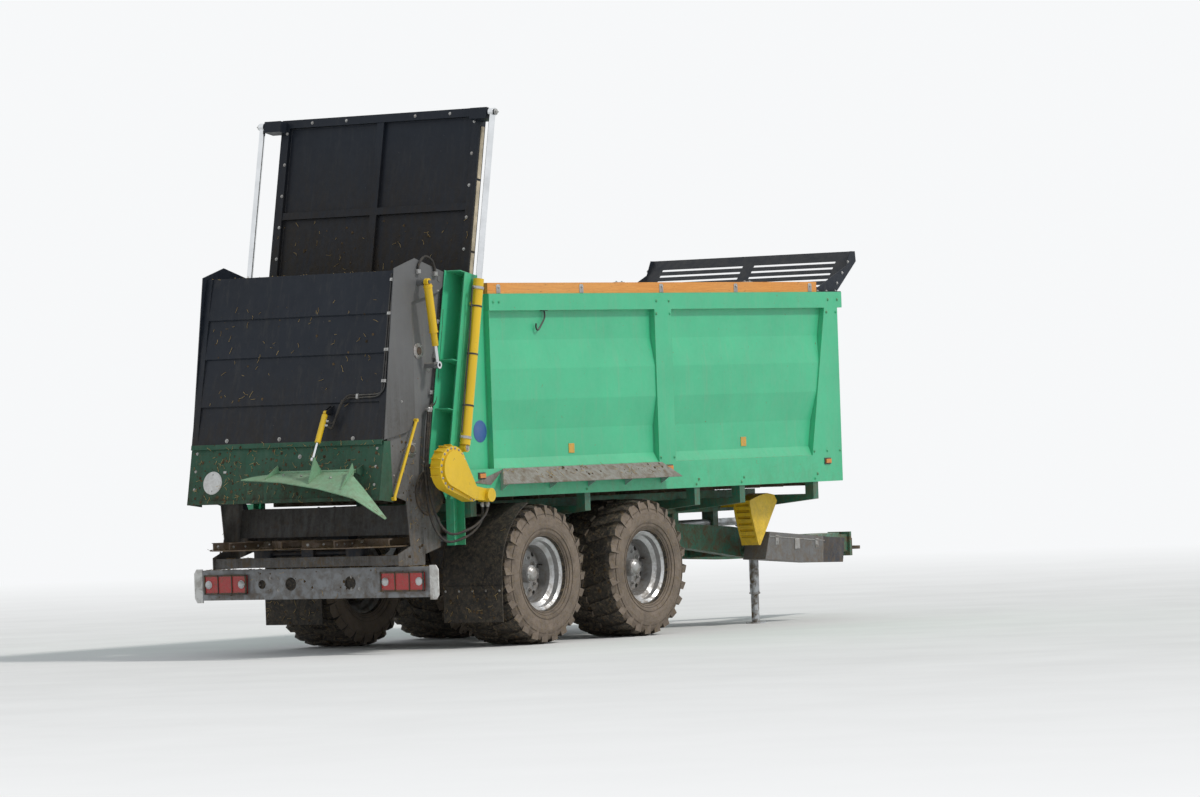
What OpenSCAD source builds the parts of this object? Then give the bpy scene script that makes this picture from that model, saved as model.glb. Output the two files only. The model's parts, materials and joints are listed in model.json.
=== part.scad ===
// Tandem-axle manure spreader: a fixed hopper with a chain-and-slat floor, a lifting gate,
// two lying beaters and two spreading discs under a hood. Millimetres, +X towards the hitch,
// +Y to the left, +Z up, the ground at zero. Lengths along X are measured from the rear axle.

/* [Wheels and axles] */
// Outside diameter of the tyres over their lugs
tyre_d = 1170; // [1100:5:1180]
// Width of the tyres
tyre_w = 600; // [480:5:610]
// Distance of a wheel's middle from the middle of the machine
wheel_y = 935; // [900:1:940]
// Distance between the two axles
axle_gap = 1510; // [1400:5:1600]
// Radius of the rim's flange
rim_r = 306; // [290:1:312]
// Depth of the tread lugs
lug_h = 26; // [10:1:34]
// Number of lugs on each half of the tread
lug_count = 24; // [12:1:30]
// Side of the square axle beams
axle_side = 120; // [90:5:140]
// Radius of the wheel spindles
spindle_r = 45; // [30:1:55]

/* [Body] */
// Half width over the outside of the body
body_y = 1150; // [1140:1:1160]
// Height of the top of the side rails
rail_top_z = 2920; // [2850:5:2990]
// Height of the side rails themselves
rail_h = 140; // [100:5:160]
// Width of the side rails
rail_w = 70; // [60:1:75]
// Rear end of the folded side sheets
wall_rear_x = -580; // [-600:5:-560]
// Place of the front wall
wall_front_x = 4700; // [4600:5:4760]
// Overhang of the side rails past the front wall
rail_nose = 76; // [20:2:90]
// Thickness of the body sheets
sheet_t = 6; // [4:0.5:8]
// Height of the floor's top
floor_z = 1365; // [1350:1:1375]
// Thickness of the floor boards
deck_t = 30; // [20:1:36]
// Height of the sill's top edge
sill_top_z = 1475; // [1460:1:1490]
// Height of the sill
sill_h = 235; // [200:5:240]
// Width of the sill
sill_w = 100; // [90:1:110]
// Rear edge of the middle post
mid_post_x = 1830; // [1700:5:1950]
// Width of the middle post
mid_post_w = 250; // [180:5:300]
// Width of the front post at the top
front_post_top_w = 212; // [150:2:260]
// Width of the front post at the bottom
front_post_foot_w = 478; // [380:2:520]
// Height of the timber boards on the side rails
board_h = 90; // [60:5:100]
// Thickness of the timber boards
board_t = 45; // [30:1:55]

/* [Chassis] */
// Half distance between the frame rails' middles
frame_y = 420; // [400:1:440]
// Width of the frame rails
frame_w = 80; // [60:2:100]
// Height of the frame rails
frame_h = 185; // [160:5:200]
// Height of the frame rails' top
frame_top_z = 1195; // [1185:1:1200]
// Front end of the frame rails
frame_front_x = 4320; // [4200:5:4400]
// Rear end of the frame rails
frame_rear_x = -1040; // [-1060:5:-1000]
// Place of the drawbar eye
eye_x = 6600; // [6500:5:6700]
// Height of the drawbar eye
eye_z = 600; // [560:5:640]
// Radius of the hole in the drawbar eye
eye_bore_r = 25; // [20:0.5:28]
// Thickness of the drawbar eye's ring
eye_t = 30; // [26:1:44]
// Height of the driveline
drive_z = 900; // [880:2:920]
// Radius of the driveline tube
drive_r = 35; // [25:1:45]
// Radius of the splined input stub
stub_r = 17.46; // [17:0.01:18]
// Front end of the input stub
stub_x = 4990; // [4900:5:5060]

/* [Conveyor] */
// Radius of the chain's run round its sprockets
chain_r = 62; // [55:1:66]
// Place of the rear sprocket shaft
chain_rear_x = -1020; // [-1030:1:-1000]
// Place of the front sprocket shaft
chain_front_x = 4560; // [4500:5:4580]
// Height of a slat
slat_h = 34; // [24:1:38]
// Distance between slats
slat_pitch = 360; // [300:10:500]

/* [Gate] */
// Lean of the gate, posts and hood from the upright, in degrees
lean = 11.2; // [10.8:0.1:11.6]
// Place of the gate's plane at the floor's height
gate_foot_x = -1013; // [-1020:1:-1005]
// Half width of the gate
gate_y = 1040; // [1020:1:1044]
// Height of the gate along its slope
gate_h = 1840; // [1700:10:1860]
// Thickness of the gate's frame
gate_t = 76; // [60:1:80]
// Travel of the gate from shut to raised
gate_travel = 1250; // [1200:5:1256]
// Height of the gate's foot over the floor when shut, along its slope
gate_rest = 65; // [62:1:80]
// Radius of the gate cylinders' barrels
barrel_r = 44; // [38:1:45]
// Radius of the gate cylinders' rods
rod_r = 26; // [18:1:30]
// Distance of the gate cylinders from the middle
barrel_y = 1200; // [1198:1:1208]

/* [Spreading unit] */
// Half width over the fixed side plates
plate_y = 963; // [955:1:968]
// Thickness of the side plates and cheeks
plate_t = 8; // [6:0.5:9]
// Half width of the hood
hood_y = 993; // [990:1:995]
// Place of the hood's top rear edge
hood_top_x = -1600; // [-1620:2:-1590]
// Height of the hood's top rear edge
hood_top_z = 3120; // [3100:5:3140]
// Radius over the beaters' tips
beater_r = 350; // [300:1:355]
// Radius of the beaters' tubes
beater_tube_r = 110; // [80:2:130]
// Blades along each beater
beater_blades = 14; // [8:1:20]
// Radius of the spreading discs
disc_r = 460; // [400:5:462]
// Place of the discs' shafts
disc_x = -1600; // [-1620:2:-1590]
// Distance of a disc's shaft from the middle
disc_y = 475; // [472:1:480]
// Height of the discs
disc_z = 870; // [860:1:885]
// Vanes on each disc
vane_count = 6; // [4:1:8]

/* [Fits] */
// Running gap at shafts, pins and rods
run = 0.5; // [0.3:0.05:1]
// Gap between fixed pieces that lie side by side
seat = 0.3; // [0.1:0.05:0.5]

/* [Hidden] */
$fn = 48;

body_green = "#2f9a74";
deep_green = "#1f6b50";
anthracite = "#2b2f38";
plate_grey = "#5a5c60";
signal_yellow = "#f2c60a";
zinc = "#a9adb0";
bright_chrome = "#dfe3e6";
black = "#1b1b1d";
timber = "#dd9a3c";

// Middle of the whole length, which the model is drawn about
deflector_tip_x = hood_top_x - 640;
front_tip_x = eye_x + eye_bore_r + 45;
origin_x = -(front_tip_x + deflector_tip_x) / 2;

wheel_z = tyre_d / 2;
rail_foot_z = rail_top_z - rail_h;
sill_foot_z = sill_top_z - sill_h;
deck_foot_z = floor_z - deck_t;
bearer_h = 68;
bearer_foot_z = deck_foot_z - bearer_h;
frame_foot_z = frame_top_z - frame_h;
slat_t = 6;
chain_t = 16;
chain_mid_z = floor_z + seat - chain_r + chain_t / 2;

// Places on the sloping gate plane: along its slope u from the floor, and v ahead of it
function lean_x(u, v = 0) = gate_foot_x + u * sin(lean) + v * cos(lean);
function lean_z(u, v = 0) = floor_z + u * cos(lean) - v * sin(lean);
function gate_plane_x(z) = gate_foot_x + (z - floor_z) * tan(lean);
function hood_plane_x(z) = hood_top_x + (z - hood_top_z) * tan(lean);

gate_raised_u = gate_rest + gate_travel;
gate_top_u = gate_raised_u + gate_h;
post_v0 = -310;
post_v1 = -gate_t / 2 - 12;
post_top_u = 1728;
barrel_v = -96;
barrel_foot_u = 300;
barrel_top_u = 1687;
rod_eye_u = gate_top_u - 60;

// Hood hinge, and the two eyes of its lifting cylinders
hinge_x = -1050;
hinge_z = 3050;
lift_a = [-1340, 3020];
lift_b = [-1235, 2340];
lift_y = 1088;
lift_barrel_r = 34;
lift_rod_r = 17;
lift_pin_r = 15;

beater_low = [-1470, 1660];
beater_high = [-1330, 2460];
case_foot = [-1160, 1000];
case_r = 62;

// Hood panels, measured down the hood's slope from its top edge
hood_split = 1402;
hood_green_len = 498;

// Deflector hinge, its cylinder's eyes and their place across
defl_hinge = [-1990, 1500];
defl_a = [-1905, 1980];
defl_b = [-2095, 1604];
defl_cyl_y = -430;

jack_x = 4110;
jack_y = -560;
jack_pivot_z = 640;
jack_r = 42;
jack_pin_r = 15;
jack_boss_r = 32;
jack_boss_l = jack_r + 8;

guard_top = [5105, 3285];
guard_foot = [4790, 2930];

module placed() {
    translate([origin_x, 0, 0]) children();
}

// A box between low and high corners
module box(x0, x1, y0, y1, z0, z1) {
    translate([x0, y0, z0]) cube([x1 - x0, y1 - y0, z1 - z0]);
}

// A plate with its outline in X and Z, between two places across the machine
module side_plate(outline, y0, y1) {
    translate([0, y1, 0]) rotate([90, 0, 0]) linear_extrude(y1 - y0) polygon(outline);
}

// A profile with its outline in Y and Z, drawn out between two places along the machine
module long_profile(outline, x0, x1) {
    translate([x0, 0, 0]) rotate([90, 0, 90]) linear_extrude(x1 - x0) polygon(outline);
}

// A round bar across the machine
module cross_bar(x, z, y0, y1, r) {
    translate([x, y1, z]) rotate([90, 0, 0]) cylinder(h = y1 - y0, r = r);
}

module both_sides() {
    children();
    mirror([0, 1, 0]) children();
}

// The sloping frame of the gate: Z along its slope, X ahead of its plane
module leaning() {
    translate([gate_foot_x, 0, floor_z]) rotate([0, lean, 0]) children();
}

// The sloping frame of the hood, its origin on the top rear edge
module on_hood() {
    translate([hood_top_x, 0, hood_top_z]) rotate([0, lean, 0]) children();
}

// Places children with their Z axis from point a towards point b, both in X and Z
module along(a, b, y) {
    translate([a[0], y, a[1]]) rotate([0, atan2(b[0] - a[0], b[1] - a[1]), 0]) children();
}

function span(a, b) = norm([b[0] - a[0], b[1] - a[1]]);

// Frame rails, the outriggers that carry the sills and a middle beam under the floor bearers
outrigger_t = 80;
outriggers = [-918, axle_gap / 2 - outrigger_t / 2, 2360, 3060, 4230]; // rear faces, along the machine
outrigger_foot_z = frame_foot_z + 15;
outrigger_top_z = outrigger_foot_z + 110;
riser_y0 = body_y - sill_w + 4;
riser_y1 = body_y - 10;
middle_y = 35;
hanger_half = 60; // of the driveline's bearing blocks

// Half of an outrigger's outline in Y and Z: out along the foot, up the riser, back along the top
outrigger_half = [[frame_y + 60, outrigger_foot_z], [riser_y1, outrigger_top_z - 45],
    [riser_y1, sill_foot_z - seat], [riser_y0, sill_foot_z - seat], [riser_y0, outrigger_top_z],
    [middle_y, outrigger_top_z], [middle_y, bearer_foot_z - seat]];
outrigger_count = len(outrigger_half);
outrigger_outline = concat(outrigger_half,
    [for (i = [1:outrigger_count]) [-outrigger_half[outrigger_count - i][0],
        outrigger_half[outrigger_count - i][1]]]);

module chassis_frame() {
    color(deep_green) placed() {
        both_sides() difference() {
            box(frame_rear_x, frame_front_x, frame_y - frame_w / 2, frame_y + frame_w / 2,
                frame_foot_z, frame_top_z);
            box(frame_rear_x - 1, frame_front_x - 12, frame_y - frame_w / 2 + 8,
                frame_y + frame_w / 2 - 8, frame_foot_z + 8, frame_top_z - 8);
        }
        for (x = outriggers) long_profile(outrigger_outline, x, x + outrigger_t);
        for (i = [1, 2, 4]) difference() {
            box(outriggers[i], outriggers[i] + outrigger_t, -hanger_half, hanger_half,
                drive_z - hanger_half, outrigger_foot_z + 1);
            translate([outriggers[i] - 1, 0, drive_z]) rotate([0, 90, 0])
                cylinder(h = outrigger_t + 2, r = drive_r + run);
        }
        box(outriggers[0], outriggers[4], -middle_y, middle_y, outrigger_top_z - 20, frame_top_z + 15);
    }
}

bearer_count = 9;
bearer_w = 60;
deck_y = body_y - sill_w - seat;
deck_rear_x = chain_rear_x + chain_r + 30;

// Boards of the floor, on bearers that reach from sill to sill
module floor_deck() {
    first_x = deck_rear_x + 120;
    pitch = (chain_front_x - 160 - bearer_w - first_x) / (bearer_count - 1);
    color(plate_grey) placed() {
        box(deck_rear_x, chain_front_x - chain_r - 30, -deck_y, deck_y, deck_foot_z, floor_z);
        for (i = [0:bearer_count - 1])
            box(first_x + i * pitch, first_x + i * pitch + bearer_w, -deck_y, deck_y,
                bearer_foot_z, deck_foot_z);
    }
}

chain_lines = [100, 940]; // distances of a side's two chains from the middle
chain_w = 26;
sprocket_w = 30;
slat_over = 30;
floor_shaft_r = 26;
slat_foot = 40;
chain_out = chain_r + chain_t / 2;
chain_in = chain_r - chain_t / 2;

// A chain's run with rounded ends, all inside the radius r, of width w
module chain_loop(r, w) {
    run_len = chain_front_x - chain_rear_x;
    translate([chain_rear_x, w / 2, chain_mid_z]) rotate([90, 0, 0]) linear_extrude(w) union() {
        circle(r = r);
        translate([run_len, 0]) circle(r = r);
        translate([0, -r]) square([run_len, 2 * r]);
    }
}

// One slat: an upright bar on a foot that is bolted to both chains
module slat(x, up) {
    y0 = chain_lines[0] - slat_over;
    y1 = chain_lines[1] + slat_over;
    z_chain = chain_mid_z + up * chain_out;
    z_tip = z_chain + up * slat_h;
    z_foot = z_chain + up * slat_t;
    box(x, x + slat_t, y0, y1, min(z_chain, z_tip), max(z_chain, z_tip));
    box(x, x + slat_foot, y0, y1, min(z_chain, z_foot), max(z_chain, z_foot));
}

// Chains, the slats bolted across each pair, and the two sprocket shafts
module floor_conveyor() {
    run_len = chain_front_x - chain_rear_x;
    slats = floor(run_len / slat_pitch);
    color("#4a4744") placed() {
        both_sides() {
            for (y = chain_lines) translate([0, y, 0]) difference() {
                chain_loop(chain_out, chain_w);
                chain_loop(chain_in, chain_w + 2);
            }
            for (y = chain_lines) for (x = [chain_rear_x, chain_front_x])
                cross_bar(x, chain_mid_z, y - sprocket_w / 2, y + sprocket_w / 2, chain_in + 2);
            for (i = [0:slats - 1]) for (up = [-1, 1])
                slat(chain_rear_x + (i + 0.5) * run_len / slats, up);
        }
        cross_bar(chain_rear_x, chain_mid_z, -body_y - 6, deck_y, floor_shaft_r);
        cross_bar(chain_front_x, chain_mid_z, -deck_y, deck_y, floor_shaft_r);
    }
}

sheet_foot = 8;
// Folds of the side sheet: inset from the body's outside, and height as a share of sill to rail
side_folds = [[sheet_foot, 0], [50, 0.063], [50, 0.241], [12, 0.431], [12, 0.628], [50, 0.813], [50, 1]];

function fold_z(share) = sill_top_z + share * (rail_foot_z - sill_top_z);

// Outside surface of the side sheet as points in Y and Z, moved inward by a distance
function sheet_line(inward) = [for (f = side_folds) [body_y - f[0] - inward, fold_z(f[1])]];

function backwards(points) = [for (i = [1:len(points)]) points[len(points) - i]];

end_inset = 50; // of the flat end panel behind the folds
guide_gap = 8; // between the gate and the strips it slides behind

module side_wall() {
    inset_y = body_y - end_inset;
    panel_x = wall_rear_x;
    long_profile(concat(sheet_line(0), backwards(sheet_line(sheet_t))), panel_x, wall_front_x - seat);
    side_plate([
        [gate_plane_x(sill_top_z) + post_v1 / cos(lean) + seat, sill_top_z],
        [panel_x, sill_top_z],
        [panel_x, rail_top_z],
        [gate_plane_x(rail_top_z) + post_v1 / cos(lean) + seat, rail_top_z]],
        inset_y - sheet_t, inset_y);
    box(panel_x - sheet_t, panel_x, inset_y - sheet_t, body_y, sill_top_z, rail_foot_z);
    leaning() box(gate_t / 2 + guide_gap, gate_t / 2 + guide_gap + sheet_t, gate_y - 36, inset_y - 1, 90, 1660);
}

module side_wall_left() {
    color(body_green) placed() side_wall();
}

module side_wall_right() {
    color(body_green) placed() mirror([0, 1, 0]) side_wall();
}

post_t = 6;
sill_rear_x = -925;

// Section of the sill in Y and Z: a closed tube with its top edge sloping down inside
function sill_section(t) = [[body_y - t, sill_foot_z + t], [body_y - t, sill_top_z - t * 1.3],
    [body_y - 22 + t * 0.2, sill_top_z - t * 1.3], [body_y - sill_w + t, sill_top_z - 35 - t],
    [body_y - sill_w + t, sill_foot_z + t]];

// A folded post of the given outline in X and Z, open towards the sheet that it stands on
module post(outline, inner) {
    difference() {
        side_plate(outline, body_y - end_inset - 20, body_y);
        side_plate(inner, body_y - end_inset - 21, body_y - post_t);
        long_profile(concat(sheet_line(-seat), [[0, rail_foot_z], [0, sill_top_z]]),
            wall_rear_x, wall_front_x + rail_nose);
    }
}

module side_frame() {
    // Top rail, with its end closed
    box(wall_rear_x + seat, wall_front_x + rail_nose, body_y - rail_w, body_y, rail_foot_z, rail_top_z);
    // Sill
    difference() {
        long_profile(sill_section(0), sill_rear_x, wall_front_x);
        long_profile(sill_section(post_t), sill_rear_x - 1, wall_front_x - post_t);
    }
    // Middle post, a hat section
    x0 = mid_post_x;
    x1 = mid_post_x + mid_post_w;
    post([[x0, sill_top_z], [x1, sill_top_z], [x1, rail_foot_z], [x0, rail_foot_z]],
        [[x0 + post_t, sill_top_z], [x1 - post_t, sill_top_z], [x1 - post_t, rail_foot_z],
        [x0 + post_t, rail_foot_z]]);
    // Front post, wider at its foot
    foot_x = wall_front_x - front_post_foot_w;
    top_x = wall_front_x - front_post_top_w;
    post([[foot_x, sill_top_z], [wall_front_x, sill_top_z], [wall_front_x, rail_foot_z],
        [top_x, rail_foot_z]],
        [[foot_x + post_t, sill_top_z], [wall_front_x - post_t, sill_top_z],
        [wall_front_x - post_t, rail_foot_z], [top_x + post_t, rail_foot_z]]);
}

module side_frame_left() {
    color(body_green) placed() side_frame();
}

module side_frame_right() {
    color(body_green) placed() mirror([0, 1, 0]) side_frame();
}

front_rib_h = 60;
front_ribs = [0.08, 0.36, 0.64, 0.92]; // heights as shares of the front wall

// Front wall between the sills and rails, with folded ribs across its front
module front_wall() {
    half = body_y - rail_w - seat;
    wide = body_y - sheet_foot + 1;
    foot = deck_foot_z;
    right_side = [[wide, foot], [wide, rail_foot_z - seat], [half, rail_foot_z - seat], [half, rail_top_z]];
    color(body_green) placed() {
        long_profile(concat(right_side, backwards([for (p = right_side) [-p[0], p[1]]])),
            wall_front_x + seat, wall_front_x + sheet_t);
        for (share = front_ribs) {
            z = foot + share * (rail_top_z - foot) - front_rib_h / 2;
            side_plate([[wall_front_x + sheet_t, z - 15], [wall_front_x + sheet_t + 45, z],
                [wall_front_x + sheet_t + 45, z + front_rib_h],
                [wall_front_x + sheet_t, z + front_rib_h + 15]], -half + 40, half - 40);
        }
    }
}

guard_slot_rows = 5;
guard_slot_cols = 2;
guard_slot_h = 26;
guard_t = 5;

// Screen above the front wall that keeps the load off the tractor, between two side plates
module front_guard() {
    tilt = atan2(guard_top[0] - guard_foot[0], guard_top[1] - guard_foot[1]);
    len_u = norm(guard_top - guard_foot);
    half = body_y - rail_w;
    col_w = (2 * half - 160) / guard_slot_cols;
    color(anthracite) placed() {
        translate([guard_foot[0], 0, guard_foot[1]]) rotate([0, tilt, 0]) difference() {
            box(0, guard_t, -half, half, 0, len_u);
            for (c = [0:guard_slot_cols - 1]) for (r = [0:guard_slot_rows - 1])
                box(-1, guard_t + 1, -half + 80 + c * col_w + 60, -half + 80 + (c + 1) * col_w - 60,
                    60 + r * (len_u - 130) / guard_slot_rows,
                    60 + r * (len_u - 130) / guard_slot_rows + guard_slot_h);
        }
        both_sides() side_plate([[4390, rail_top_z + seat], [guard_foot[0] + 8, rail_top_z + seat],
            [guard_top[0] + 30, guard_top[1] - 90], [guard_top[0] + 20, guard_top[1]],
            [guard_top[0] - 60, guard_top[1]], [guard_top[0] - 130, guard_top[1] - 130]],
            half, half + guard_t);
        both_sides() box(4390, guard_foot[0] + 8, half, half + 50, rail_top_z + seat, rail_top_z + 6);
    }
}

post_y0 = 1000;
post_y1 = body_y - 5;
rib_heights = [570, 980]; // of the gussets in the rear posts, along the slope
leg_x0 = -1070;
leg_x1 = outriggers[0] - seat;
leg_foot_z = 860;
leg_top_z = 1240;
leg_t = 8;

// Sloping channels behind the gate, open to the rear, each on a leg bolted to the rear outrigger
module rear_posts() {
    color(body_green) placed() both_sides() {
        leaning() {
            box(post_v1 - post_t, post_v1, post_y0, post_y1, 115, post_top_u);
            box(post_v0, post_v1, post_y0, post_y0 + post_t, 115, post_top_u);
            box(post_v0 + 90, post_v1, post_y1 - post_t, post_y1, 115, post_top_u);
            for (u = concat(rib_heights, [115, post_top_u - post_t]))
                box(post_v0 + 20, post_v1, post_y0, post_y1, u, u + post_t);
        }
        difference() {
            side_plate([[lean_x(140, post_v0 + 10), lean_z(140, post_v0 + 10)],
                [lean_x(140, post_v1 - 3), lean_z(140, post_v1 - 3)],
                [lean_x(50, post_v1 - 3), lean_z(50, post_v1 - 3)],
                [leg_x1, leg_top_z], [leg_x1, leg_foot_z], [leg_x0, leg_foot_z], [leg_x0, leg_top_z]],
                post_y0, post_y0 + leg_t);
            cross_bar(chain_rear_x, chain_mid_z, post_y0 - 1, post_y0 + leg_t + 1, floor_shaft_r + run);
        }
        for (x = [leg_x0, leg_x1 - leg_t])
            box(x, x + leg_t, post_y0, post_y0 + 80, leg_foot_z, leg_top_z);
    }
}

board_inset = 10;

module top_boards() {
    color(timber) placed() both_sides()
        box(wall_rear_x, 4388, body_y - board_inset - board_t, body_y - board_inset,
            rail_top_z + seat, rail_top_z + board_h);
}

piston_l = 60;
gland_l = 40;
barrel_wall = 6;
piston_foot_u = barrel_top_u - gland_l - 10 - piston_l;

// Upright cylinders that lift the gate, pinned to the rear posts
module gate_barrels() {
    color(signal_yellow) placed() both_sides() leaning() {
        translate([barrel_v, barrel_y, 0]) difference() {
            union() {
                translate([0, 0, barrel_foot_u]) cylinder(h = barrel_top_u - barrel_foot_u, r = barrel_r);
                translate([0, 25, barrel_foot_u - 24]) rotate([90, 0, 0]) cylinder(h = 50, r = 34);
            }
            translate([0, 0, barrel_foot_u + 18])
                cylinder(h = barrel_top_u - gland_l - barrel_foot_u - 18, r = barrel_r - barrel_wall);
            translate([0, 0, barrel_foot_u + 30]) cylinder(h = barrel_top_u, r = rod_r + run);
        }
        translate([barrel_v, barrel_y + 25, barrel_foot_u - 24]) rotate([90, 0, 0])
            cylinder(h = barrel_y + 25 - post_y1 - seat, r = 18);
        translate([barrel_v, barrel_y - 30, 1480]) rotate([90, 0, 0])
            cylinder(h = barrel_y - 30 - post_y1 - seat, r = 22);
    }
}

pin_r = 25; // of the hood hinge
beam_z0 = 720;
beam_z1 = 800;
beam_half = 60;
bearing_r = 75;
stub_shaft_r = 30;

plate_outline = [[-1120, 3070], [-995, 3070], [-998, 2873], [-1156, 2054], [-1271, 1238], [-1320, 870],
    [-1330, 712], [-1690, 712], [-1690, 810], [-1520, 870], [-1560, 1240], [-1790, 1300],
    [hood_plane_x(1745) + 80, 1745], [hood_plane_x(2950) + 60, 2950]];

// Fixed side plates with the hood's hinge tube, the cross beam under the discs and a front web
module spreader_frame() {
    color(plate_grey) placed() {
        both_sides() {
            difference() {
                union() {
                    side_plate(plate_outline, plate_y - plate_t, plate_y);
                    for (b = [beater_low, beater_high])
                        cross_bar(b[0], b[1], plate_y - plate_t - 30, plate_y - 1, bearing_r);
                }
                for (b = [beater_low, beater_high])
                    cross_bar(b[0], b[1], plate_y - 60, plate_y + 1, stub_shaft_r + run);
            }
            cross_bar(hinge_x, hinge_z, plate_y - 2, hood_y + 4, pin_r);
            cross_bar(lift_b[0], lift_b[1], plate_y - 2, lift_y - 24, 22);
            side_plate([[-1010, 2800], [-1030, 2800], [-1282, 1460], [-1262, 1460]],
                plate_y - 1, post_y0 - seat);
        }
        cross_bar(hinge_x, hinge_z, -plate_y + plate_t - 1, plate_y - plate_t + 1, 38);
        box(disc_x - beam_half, disc_x + beam_half, -plate_y + plate_t - 1, plate_y - plate_t + 1,
            beam_z0, beam_z1);
        side_plate([[-1262, 1200], [-1274, 1200], [-1316, 960], [-1304, 960]],
            -plate_y + plate_t - 1, plate_y - plate_t + 1);
    }
}

gear_z = disc_z - 8;
spin_box_r = 95;
shaft_r = 25;
gear_x1 = -1080;
gear_x0 = -1240;

// Main gearbox behind the driveline, the two disc gearboxes on the cross beam, and their shaft tubes
module drive_gearboxes() {
    mid_z = beam_z1 + (gear_z - beam_z1) / 2;
    color(anthracite) placed() difference() {
        union() {
            box(gear_x0, gear_x1, -110, 110, 800, 1060);
            cross_bar(case_foot[0], case_foot[1], 100, plate_y - seat, 38);
            for (side = [-1, 1]) translate([disc_x, side * disc_y, beam_z1 + seat])
                cylinder(h = gear_z - beam_z1 - seat, r = spin_box_r);
            box(disc_x - 55, disc_x + 55, -60, 60, beam_z1 + seat, gear_z);
            cross_bar(disc_x, mid_z, -disc_y, disc_y, 24);
            translate([disc_x, 0, mid_z]) rotate([0, 90, 0]) cylinder(h = gear_x0 - disc_x + 10, r = 24);
        }
        for (side = [-1, 1]) translate([disc_x, side * disc_y, beam_z1 + 10])
            cylinder(h = 200, r = shaft_r + run);
        translate([gear_x1 - 40, 0, drive_z]) rotate([0, 90, 0]) cylinder(h = 60, r = drive_r + run);
    }
}

// Straight-sided cover round two circles
module belt(a, ra, b, rb, y0, y1) {
    d = span(a, b);
    turn = atan2(b[1] - a[1], b[0] - a[0]);
    k = 0.992;
    side = acos((ra - rb) / d);
    cross_bar(a[0], a[1], y0, y1, ra);
    cross_bar(b[0], b[1], y0, y1, rb);
    side_plate([
        a + k * ra * [cos(turn + side), sin(turn + side)], a + k * ra * [cos(turn - side), sin(turn - side)],
        b + k * rb * [cos(turn - side), sin(turn - side)], b + k * rb * [cos(turn + side), sin(turn + side)]],
        y0, y1);
}

case_y0 = plate_y + seat;
case_y1 = plate_y + 58;

// Chain case on the left that drives both beaters
module beater_drive_case() {
    color(anthracite) placed() difference() {
        union() {
            belt(case_foot, case_r, beater_low, case_r, case_y0, case_y1);
            belt(beater_low, case_r, beater_high, case_r, case_y0, case_y1);
        }
        for (b = [beater_low, beater_high])
            cross_bar(b[0], b[1], case_y0 - 1, case_y0 + 30, stub_shaft_r + run);
    }
}

housing_big = [-1292, 1490];
housing_small = [-1040, 1292];
motor_at = [-800, 1262];
housing_y0 = 1156;
housing_y1 = 1275;

// Gearbox of the floor's drive shaft on the right, in a drop-shaped housing with its motor
module floor_gearbox() {
    color(signal_yellow) placed() mirror([0, 1, 0]) {
        belt(housing_big, 185, housing_small, 78, housing_y0, housing_y1 - 20);
        belt(housing_big, 150, housing_small, 55, housing_y1 - 22, housing_y1);
        belt(housing_small, 60, motor_at, 46, housing_y0 + 20, housing_y1 - 30);
        cross_bar(motor_at[0], motor_at[1], housing_y0, housing_y1, 56);
        cross_bar(-1180, 1560, post_y1 + seat, housing_y0 + 5, 24);
    }
}

bar_x = -1560;
bar_y = 1177;
bar_z0 = 454;
bar_z1 = 705;
bar_t = 5;
bar_depth = 58;
marker_w = 86;
bar_holes = [[550, 30], [250, 48], [-365, 48]]; // place across, radius

// Rear light carrier: a galvanised channel on two arms, with blank marker plates at its ends
module light_bar() {
    color(zinc) placed() {
        difference() {
            union() {
                box(bar_x - bar_t, bar_x, -bar_y, bar_y, bar_z0, bar_z1);
                for (z = [bar_z0, bar_z1 - bar_t]) box(bar_x - bar_t, bar_x + bar_depth, -bar_y, bar_y, z, z + bar_t);
            }
            for (h = bar_holes) translate([bar_x - 20, h[0], (bar_z0 + bar_z1) / 2]) rotate([0, 90, 0])
                cylinder(h = 40, r = h[1]);
        }
        both_sides() long_profile([[bar_y + seat, bar_z0 - 20], [bar_y + marker_w - 25, bar_z0 - 20],
            [bar_y + marker_w, bar_z0 + 20], [bar_y + marker_w, bar_z1 - 25],
            [bar_y + marker_w - 25, bar_z1 + 10], [bar_y + seat, bar_z1 + 10]], bar_x - bar_t, bar_x + 5);
        both_sides() side_plate([[-1090, frame_foot_z - seat], [-860, frame_foot_z - seat],
            [-1340, bar_z0 + 60], [bar_x + 2, bar_z0 + 30], [bar_x + 2, bar_z1 - 20], [-1400, bar_z1 - 20],
            [-1110, disc_z - 40]],
            frame_y - 20, frame_y + 20);
    }
}

lamp_y0 = 700;
lamp_y1 = 1130;
lamp_t = 26;
marker_lamps = [-763, 1972, 4459]; // amber lamps along the sill
marker_lamp_z = 1420;

module lamps() {
    color("#b01818") placed() both_sides() {
        box(bar_x - bar_t - seat - lamp_t, bar_x - bar_t - seat, lamp_y0, lamp_y1, bar_z0 + 55, bar_z1 - 45);
        for (x = marker_lamps)
            box(x - 40, x + 40, body_y + seat, body_y + 18, marker_lamp_z - 18, marker_lamp_z + 18);
    }
}

fender_top = [-460, 1856]; // ends of the fender's top edge along the machine
fender_low = [-640, 1990]; // ends of its lower edge
fender_out = 1275;
fender_z0 = 1342;
fender_t = 4;

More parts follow.
